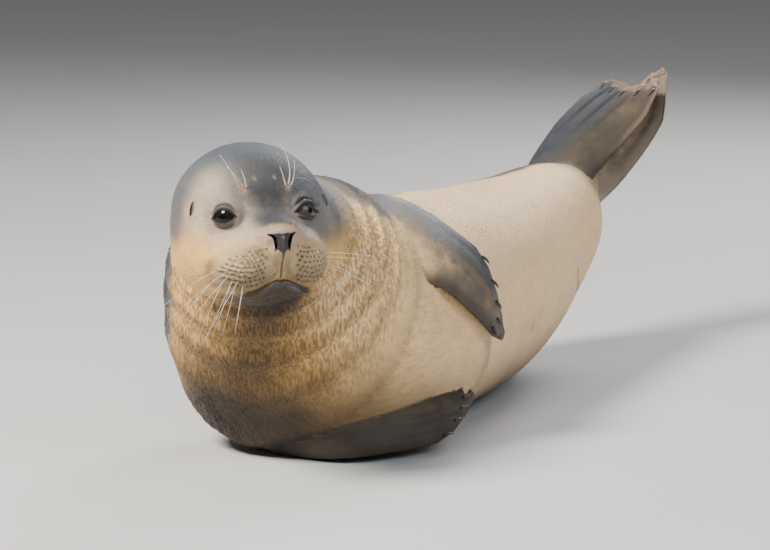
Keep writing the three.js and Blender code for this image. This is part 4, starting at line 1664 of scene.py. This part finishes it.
# ------------------------------------------------------------------ the coat
# Each region of the coat: tufts to a square centimetre, and length, width and lift of a tuft.
COAT = {
    "face": {"per_cm2": 9, "size": (4.2, 0.8, 0.28)},
    "neck": {"per_cm2": 8, "size": (6.0, 1.1, 0.4)},
    "chest": {"per_cm2": 5, "size": (8.5, 1.4, 0.45)},
    "belly": {"per_cm2": 4, "size": (8.5, 1.3, 0.35)},
    "hips": {"per_cm2": 4, "size": (8.0, 1.3, 0.35)},
    "foreflippers": {"per_cm2": 7, "size": (4.5, 0.9, 0.25)},
    "hindflippers": {"per_cm2": 7, "size": (4.5, 0.9, 0.25)},
}
# The share of the spine at which each of the body's regions ends; the hips take the rest of it.
REGION_ENDS = {"face": 0.0, "neck": 0.21, "chest": 0.42, "belly": 0.62}
REGIONS = list(COAT)
# No tufts stand on skin barer than this, or lower over the floor.
TOO_BARE, TOO_LOW = 0.3, 1.5
# How far tufts swing in patches and stray each, and the spread of their sizes and shades.
SWING, STRAY = 0.30, 0.10
SIZE_SPREAD = (0.75, 1.2)
SHADE_SPREAD = 0.07
# Tufts' normals lean towards the skin's, so that they take the light as one coat.
LEAN_TO_SKIN = 1.6
LOWEST_TIP = 0.05
# How small the neck's tufts start, beside the face's.
NECK_START = 0.55


def region_of(skin, starts):
    """The coat region of each face of the skin, as a number in the order of COAT."""
    region = np.searchsorted(list(REGION_ENDS.values()), spine_place(skin.corner_place[starts, 0]))
    fore, hind = REGIONS.index("foreflippers"), REGIONS.index("hindflippers")
    return np.where(skin.face_chart == 0, region, np.where(skin.face_chart <= 2, fore, hind))


def tuft_roots(skin, number, density, rng):
    """Faces of a region picked by their area, three corners of each and a place between them."""
    mesh = skin.mesh
    starts, totals = face_spans(mesh)
    area = read(mesh.polygons, "area", 1) / METRES**2 / 100
    mine = np.flatnonzero(region_of(skin, starts) == number)
    faces = np.repeat(mine, rng.poisson(area[mine] * density))
    weights = rng.dirichlet((1, 1, 1), len(faces))
    second = 1 + rng.integers(0, np.maximum(totals[faces] - 2, 1))
    corners = np.stack([starts[faces], starts[faces] + second, starts[faces] + second + 1], axis=-1)
    return corners, weights, skin.face_chart[faces]


def blend(values, weights):
    """The mean of the values at three corners, by weight."""
    return np.sum(values * weights[..., None], axis=1)


def coat_piece(skin, name, props, colours, material):
    """One region's tufts: closed, pointed slivers that overlap and lie along the body."""
    length, width, lift = COAT[name]["size"]
    number = REGIONS.index(name)
    rng = np.random.default_rng(number)
    density = COAT[name]["per_cm2"] * props.density * 1
    corners, weights, chart = tuft_roots(skin, number, density, rng)
    vertices = read(skin.mesh.loops, "vertex_index", 1, np.int32)[corners]
    root = blend(skin.points[vertices], weights)
    on_body, on_flipper = skin.on_body[vertices[:, 0]], skin.on_flipper[vertices[:, 0]]
    colour, bare = markings(colours, root, on_body, on_flipper)
    keep = (bare < TOO_BARE) & (root[:, 2] > TOO_LOW) & clear_of_face(root)
    vertices, weights, root, on_body, colour = (a[keep] for a in (vertices, weights, root, on_body, colour))
    normal, lie = (unit(blend(ways[vertices], weights)) for ways in (skin.normal, skin.lie))
    lie = unit(lie - normal * np.sum(lie * normal, axis=-1, keepdims=True))
    swing = SWING * noise(root, 24, 31) + rng.normal(0, STRAY, len(root))
    lie = turned(lie, normal, swing[:, None])
    across = np.cross(normal, lie)
    size = rng.uniform(*SIZE_SPREAD, len(root)) * props.tuft_scale
    ragged = 1 + 0.8 * ease(0.2, 0.7, noise(root, 30, 32))
    if name == "neck":
        size = size * mix(NECK_START, 1, ease(FACE_RINGS - 1, FACE_RINGS + 3, on_body[:, 0]))
    long_, wide, high = length * size, width * size / 2, lift * size * ragged
    tufts = sliver(root, lie, across, normal, long_, wide, high, rng)
    tufts[..., 2] = np.maximum(tufts[..., 2], LOWEST_TIP)
    piece = new_piece(f"coat_{name}", tufts.reshape(-1, 3), [sliver_faces(len(root))], [material])
    mesh = piece.data
    set_number(mesh, "Throat", np.repeat(blend(skin.throat[vertices, None], weights)[:, 0], SLIVER_POINTS))
    shade = rng.normal(1, SHADE_SPREAD, (len(root), 1)) * (1 + 0.05 * noise(root, 8, 33))[:, None]
    set_colours(mesh, np.repeat(colour * shade, SLIVER_POINTS, axis=0))
    place = blend(skin.corner_place[corners[keep]], weights)
    uv = chart_map(chart[keep], place)[:, None] + SLIVER_PATCH
    set_map(mesh, "OFBake", uv.reshape(-1, 2)[read(mesh.loops, "vertex_index", 1, np.int32)])
    lean = LEAN_TO_SKIN * np.repeat(normal, SLIVER_POINTS, axis=0)
    facing = unit(read(mesh.vertex_normals, "vector", 3) + lean)
    mesh.normals_split_custom_set_from_vertices(facing.tolist())
    return piece


# A tuft's points, and where each lies in the tuft's small patch of the bake map.
SLIVER_POINTS = 5
SLIVER_PATCH = 0.003 * np.array([(0, -0.5), (-0.5, 0), (0, 0), (0.5, 0), (0, 0.5)])


def sliver_faces(count):
    """Six triangles to a tuft: its root, three points round its middle, and its tip."""
    one = np.array([(0, 1, 2), (0, 2, 3), (0, 3, 1), (4, 2, 1), (4, 3, 2), (4, 1, 3)])
    return (one[None] + SLIVER_POINTS * np.arange(count)[:, None, None]).reshape(-1, 3)


def sliver(root, lie, across, normal, long_, wide, high, rng):
    """The five points of each tuft."""
    long_, wide, high = long_[:, None], wide[:, None], high[:, None]
    middle = root + lie * long_ * 0.4
    tip = root + lie * long_ + normal * high + across * wide * rng.normal(0, 0.5, wide.shape)
    start = root - normal * 0.25
    return np.stack(
        [start, middle - across * wide, middle + normal * high * 0.75, middle + across * wide, tip], axis=1
    )


def clear_of_face(points):
    """True where a tuft would not stand on the eyes, nose, ears, lips or chin, or in a whisker pit."""
    local = in_head(points)
    x, y, z = local[:, 0], local[:, 1], local[:, 2]
    clear = np.ones(len(points), bool)
    for side in (1, -1):
        clear &= np.linalg.norm(points - EYES[side], axis=-1) > EYE_RADIUS + LID + 0.6
    above = z - mouth_line(x)
    lips = (np.abs(above) < 3.5) & (np.abs(x) < MOUTH["half"] + 6)
    lips |= (above < 0) & (above > -28) & (np.abs(x) < MOUTH["half"])
    nose = (y > 45) & (np.hypot(x, z + 26) < 20)
    ear = (np.abs(x) > EAR_OUT) & (np.hypot((y - EAR["at"][0]) / 7, (z - EAR["at"][1]) / 12) < 1)
    return clear & ~(lips & (y > 0)) & ~nose & ~ear & (pits(local) < 0.1)


# ------------------------------------------------------------------ properties
def number_property(name, description, default, **more):
    return bpy.props.FloatProperty(name=name, description=description, default=default, **more)


def length_property(name, description, default, **more):
    return number_property(name, description, default, unit="LENGTH", **more)


def power_property(name, default):
    return number_property(name, f"Power of the {name.lower()}", default, unit="POWER", min=0.0)


class SealSizes(bpy.types.PropertyGroup):
    """Sizes of skin, coat and whiskers."""

    coat_depth: length_property("Coat depth", "How deep the skin lies inside the solids", 0.0015, min=0.0)
    join_radius: length_property("Join radius", "How wide the flippers run into the body", 0.022, min=0.001)
    whisker_length: length_property("Whisker length", "Longest whiskers of the pads", 0.1, min=0.01)
    density: number_property("Coat density", "Multiplies the number of tufts", 1.0, min=0.0, subtype="FACTOR")
    tuft_scale: number_property("Tuft scale", "Multiplies the tufts' size", 1.0, min=0.1, subtype="FACTOR")


class SealColours(bpy.types.PropertyGroup):
    """Colours of the markings that skin and coat share."""

    __annotations__ = {
        name: bpy.props.FloatVectorProperty(
            name=name.replace("_", " ").capitalize(),
            description=description,
            default=colour,
            size=3,
            min=0.0,
            max=1.0,
            subtype="COLOR",
        )
        for name, (colour, description) in PALETTE.items()
    }


class SealStage(bpy.types.PropertyGroup):
    """Camera and lights."""

    lens: number_property("Lens", "Focal length", 143.0, unit="CAMERA", min=1.0)
    distance: length_property("Distance", "From the camera to the middle of the frame", 3.4)
    height: length_property("Height", "Of the camera over the floor", 0.782)
    tilt: number_property("Tilt", "How far the camera looks down", math.radians(9), subtype="ANGLE")
    key: power_property("Key light", 300.0)
    fill: power_property("Fill light", 62.0)
    rim: power_property("Rim light", 95.0)
    sky: number_property("Sky", "Strength of the surrounding light", 0.17, min=0.0)


# ------------------------------------------------------------------ operators
# The skin, which one operator makes and the next ones build on.
made = {}

# Each light's place, size and colour, and the point that all are aimed at.
LIGHTS = {
    "key": ((-2.0, -1.6, 2.8), 1.2, (1.0, 0.94, 0.84)),
    "fill": ((2.6, -2.0, 2.6), 2.2, (0.84, 0.92, 1.0)),
    "rim": ((1.4, 2.6, 2.4), 1.6, (1.0, 0.98, 0.95)),
}
AIM = Vector((0, -0.2, 0.2))
SENSOR_WIDTH = 36
# Half the floor's side, and how far it lies under the seal.
FLOOR_HALF, FLOOR_DROP = 20.0, 0.0003


class HARBORSEAL_OT_stage(bpy.types.Operator):
    """Sets the camera, the floor and the lights"""

    bl_idname = "harborseal.stage"
    bl_label = "Stage"

    def execute(self, context):
        props = context.scene.seal_stage
        camera = bpy.data.objects.new("camera", bpy.data.cameras.new("camera"))
        camera.data.lens, camera.data.sensor_width = props.lens, SENSOR_WIDTH
        camera.location = (TO_ROW[0] * METRES, -props.distance + TO_ROW[1] * METRES, props.height)
        camera.rotation_euler = (math.pi / 2 - props.tilt, 0, 0)
        context.scene.collection.objects.link(camera)
        context.scene.camera = camera
        self.floor(context)
        for name in LIGHTS:
            self.light(name, getattr(props, name))
        world = bpy.data.worlds.new("studio")
        world.use_nodes = True
        background = world.node_tree.nodes["Background"]
        background.inputs["Color"].default_value = (0.93, 0.96, 1.0, 1)
        background.inputs["Strength"].default_value = props.sky
        context.scene.world = world
        return {"FINISHED"}

    @staticmethod
    def floor(context):
        mesh = bpy.data.meshes.new("floor")
        corners = [(x * FLOOR_HALF, y * FLOOR_HALF, 0) for x, y in ((-1, -1), (1, -1), (1, 1), (-1, 1))]
        mesh.from_pydata(corners, [], [(0, 1, 2, 3)])
        mesh.materials.append(stage_paint())
        floor = bpy.data.objects.new("floor", mesh)
        floor.location.z = -FLOOR_DROP
        context.scene.collection.objects.link(floor)
        floor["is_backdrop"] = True

    @staticmethod
    def light(name, energy):
        at, size, colour = LIGHTS[name]
        light = bpy.data.lights.new(name, "AREA")
        light.shape = "DISK"
        light.energy, light.size, light.color = energy, size, colour
        lamp = bpy.data.objects.new(name, light)
        lamp.location = at
        lamp.rotation_euler = (AIM - Vector(at)).to_track_quat("-Z", "Y").to_euler()
        bpy.context.scene.collection.objects.link(lamp)


class HARBORSEAL_OT_skin(bpy.types.Operator):
    """Builds one skin over the body, head and flippers, with the face's features and folds"""

    bl_idname = "harborseal.skin"
    bl_label = "Skin"

    def execute(self, context):
        sizes, colours = context.scene.seal_sizes, context.scene.seal_colours
        skin = Skin(sizes)
        fur = fur_skin()
        piece = skin.join([fur] * (1 + len(FLIPPERS)))
        skin.soften_joins(sizes.join_radius / METRES)
        skin.place_vertices()
        skin.paint(colours)
        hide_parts("head", "neck", "chest", "belly", "hips", "tail", "nose", *FLIPPERS)
        made["skin"] = skin
        return {"FINISHED"}


class HARBORSEAL_OT_eyes(bpy.types.Operator):
    """Builds the glossy eyeballs and the moist margins of their lids"""

    bl_idname = "harborseal.eyes"
    bl_label = "Eyes"

    def execute(self, context):
        colours = context.scene.seal_colours
        glass, moist = eye_glass(), lid_skin()
        for side, name in ((1, "left"), (-1, "right")):
            grid, iris = eyeball(side)
            ball = new_piece(f"eyeball_{name}", *rings_mesh(grid), [glass])
            set_number(ball.data, "Iris", np.r_[0, iris, 0])
            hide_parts(f"eye_{name}")
            line, out, low = lid_margin(side)
            points, quads = loop_tube(line, out, np.where(low, 1.15, 1.0), LID_SIDES)
            rim = new_piece(f"lid_margin_{name}", points, [quads], [moist])
            dark, face = np.array(colours.lid), np.array(colours.face)
            # The lower margin is a touch paler: a painted highlight on its wet edge.
            tone = np.where(low[:, None], mix(dark, face, 0.04), dark)
            set_colours(rim.data, np.repeat(tone, LID_SIDES, axis=0))
        return {"FINISHED"}


class HARBORSEAL_OT_whiskers(bpy.types.Operator):
    """Grows the whiskers of the pads and the bristles over the eyes"""

    bl_idname = "harborseal.whiskers"
    bl_label = "Whiskers"

    def execute(self, context):
        body = made["skin"].body
        horny = whisker_horn()
        sizes = context.scene.seal_sizes
        groups = {"pad_whiskers": pad_whiskers(body, sizes), "brow_whiskers": brow_whiskers(body)}
        for name, group in groups.items():
            grids = []
            for line, thick in group:
                taper = np.linspace(1, WHISKER_TIP, len(line)) ** WHISKER_TAPER
                up = np.broadcast_to(HEAD_AXES[2], line.shape)
                grids.append(horn(line, thick * taper, up, WHISKER_SIDES))
            new_piece(name, *gathered(grids), [horny])
        return {"FINISHED"}


class HARBORSEAL_OT_claws(bpy.types.Operator):
    """Builds the claws of each flipper"""

    bl_idname = "harborseal.claws"
    bl_label = "Claws"

    def execute(self, context):
        horny = claw_horn()
        colours = context.scene.seal_colours
        dark, pale = np.array(colours.claw), np.array(colours.claw_tip)
        for flipper in made["skin"].flippers:
            grids, tones = [], []
            for digit in range(DIGITS):
                grid, s = claw_rings(flipper, digit)
                grids.append(grid)
                tone = mix(dark, pale, ease(0.55, 1.0, s)[:, None])
                tone = tone * (HIND_CLAW_LIGHT if "hind" in flipper.name else 1)
                tones.append(np.vstack([dark, np.repeat(tone, grid.shape[1], axis=0), pale]))
            points, blocks = gathered(grids)
            piece = new_piece(f"claws_{flipper.name}", points, blocks, [horny])
            set_colours(piece.data, np.vstack(tones))
            stem = flipper.name.replace("flipper", "")
            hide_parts(*(f"claw_{stem}_{digit + 1}" for digit in range(DIGITS)))
        return {"FINISHED"}


class HARBORSEAL_OT_coat(bpy.types.Operator):
    """Lays the short coat's tufts over the skin, region by region"""

    bl_idname = "harborseal.coat"
    bl_label = "Coat"

    def execute(self, context):
        material = fur_tufts()
        sizes, colours = context.scene.seal_sizes, context.scene.seal_colours
        for name in COAT:
            piece = coat_piece(made["skin"], name, sizes, colours, material)
            "flipper_fur" if "flipper" in name else "fur"
        return {"FINISHED"}


OPERATORS = (
    HARBORSEAL_OT_stage,
    HARBORSEAL_OT_skin,
    HARBORSEAL_OT_eyes,
    HARBORSEAL_OT_whiskers,
    HARBORSEAL_OT_claws,
    HARBORSEAL_OT_coat,
)


class HARBORSEAL_PT_panel(bpy.types.Panel):
    """Shows the sizes, colours, camera and lights, and the operators that build the seal's pieces"""

    bl_idname = "HARBORSEAL_PT_panel"
    bl_label = "Harbour seal"
    bl_space_type = "VIEW_3D"
    bl_region_type = "UI"
    bl_category = "Seal"

    def draw(self, context):
        for group in (context.scene.seal_sizes, context.scene.seal_colours, context.scene.seal_stage):
            box = self.layout.box()
            for name in type(group).__annotations__:
                box.prop(group, name)
        for operator in OPERATORS:
            self.layout.operator(operator.bl_idname)


GROUPS = {"seal_sizes": SealSizes, "seal_colours": SealColours, "seal_stage": SealStage}


def register():
    for cls in (*GROUPS.values(), *OPERATORS, HARBORSEAL_PT_panel):
        bpy.utils.register_class(cls)
    for name, group in GROUPS.items():
        setattr(bpy.types.Scene, name, bpy.props.PointerProperty(type=group))


def unregister():
    for name in GROUPS:
        delattr(bpy.types.Scene, name)
    for cls in reversed((*GROUPS.values(), *OPERATORS, HARBORSEAL_PT_panel)):
        bpy.utils.unregister_class(cls)


def main():
    register()
    for operator in OPERATORS:
        group, name = operator.bl_idname.split(".")
        getattr(getattr(bpy.ops, group), name)()
    boxes = {"cad": cad_box, "visual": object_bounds()}
    {name: [list(corner) for corner in box] for name, box in boxes.items()}


if __name__ == "__main__":
    main()
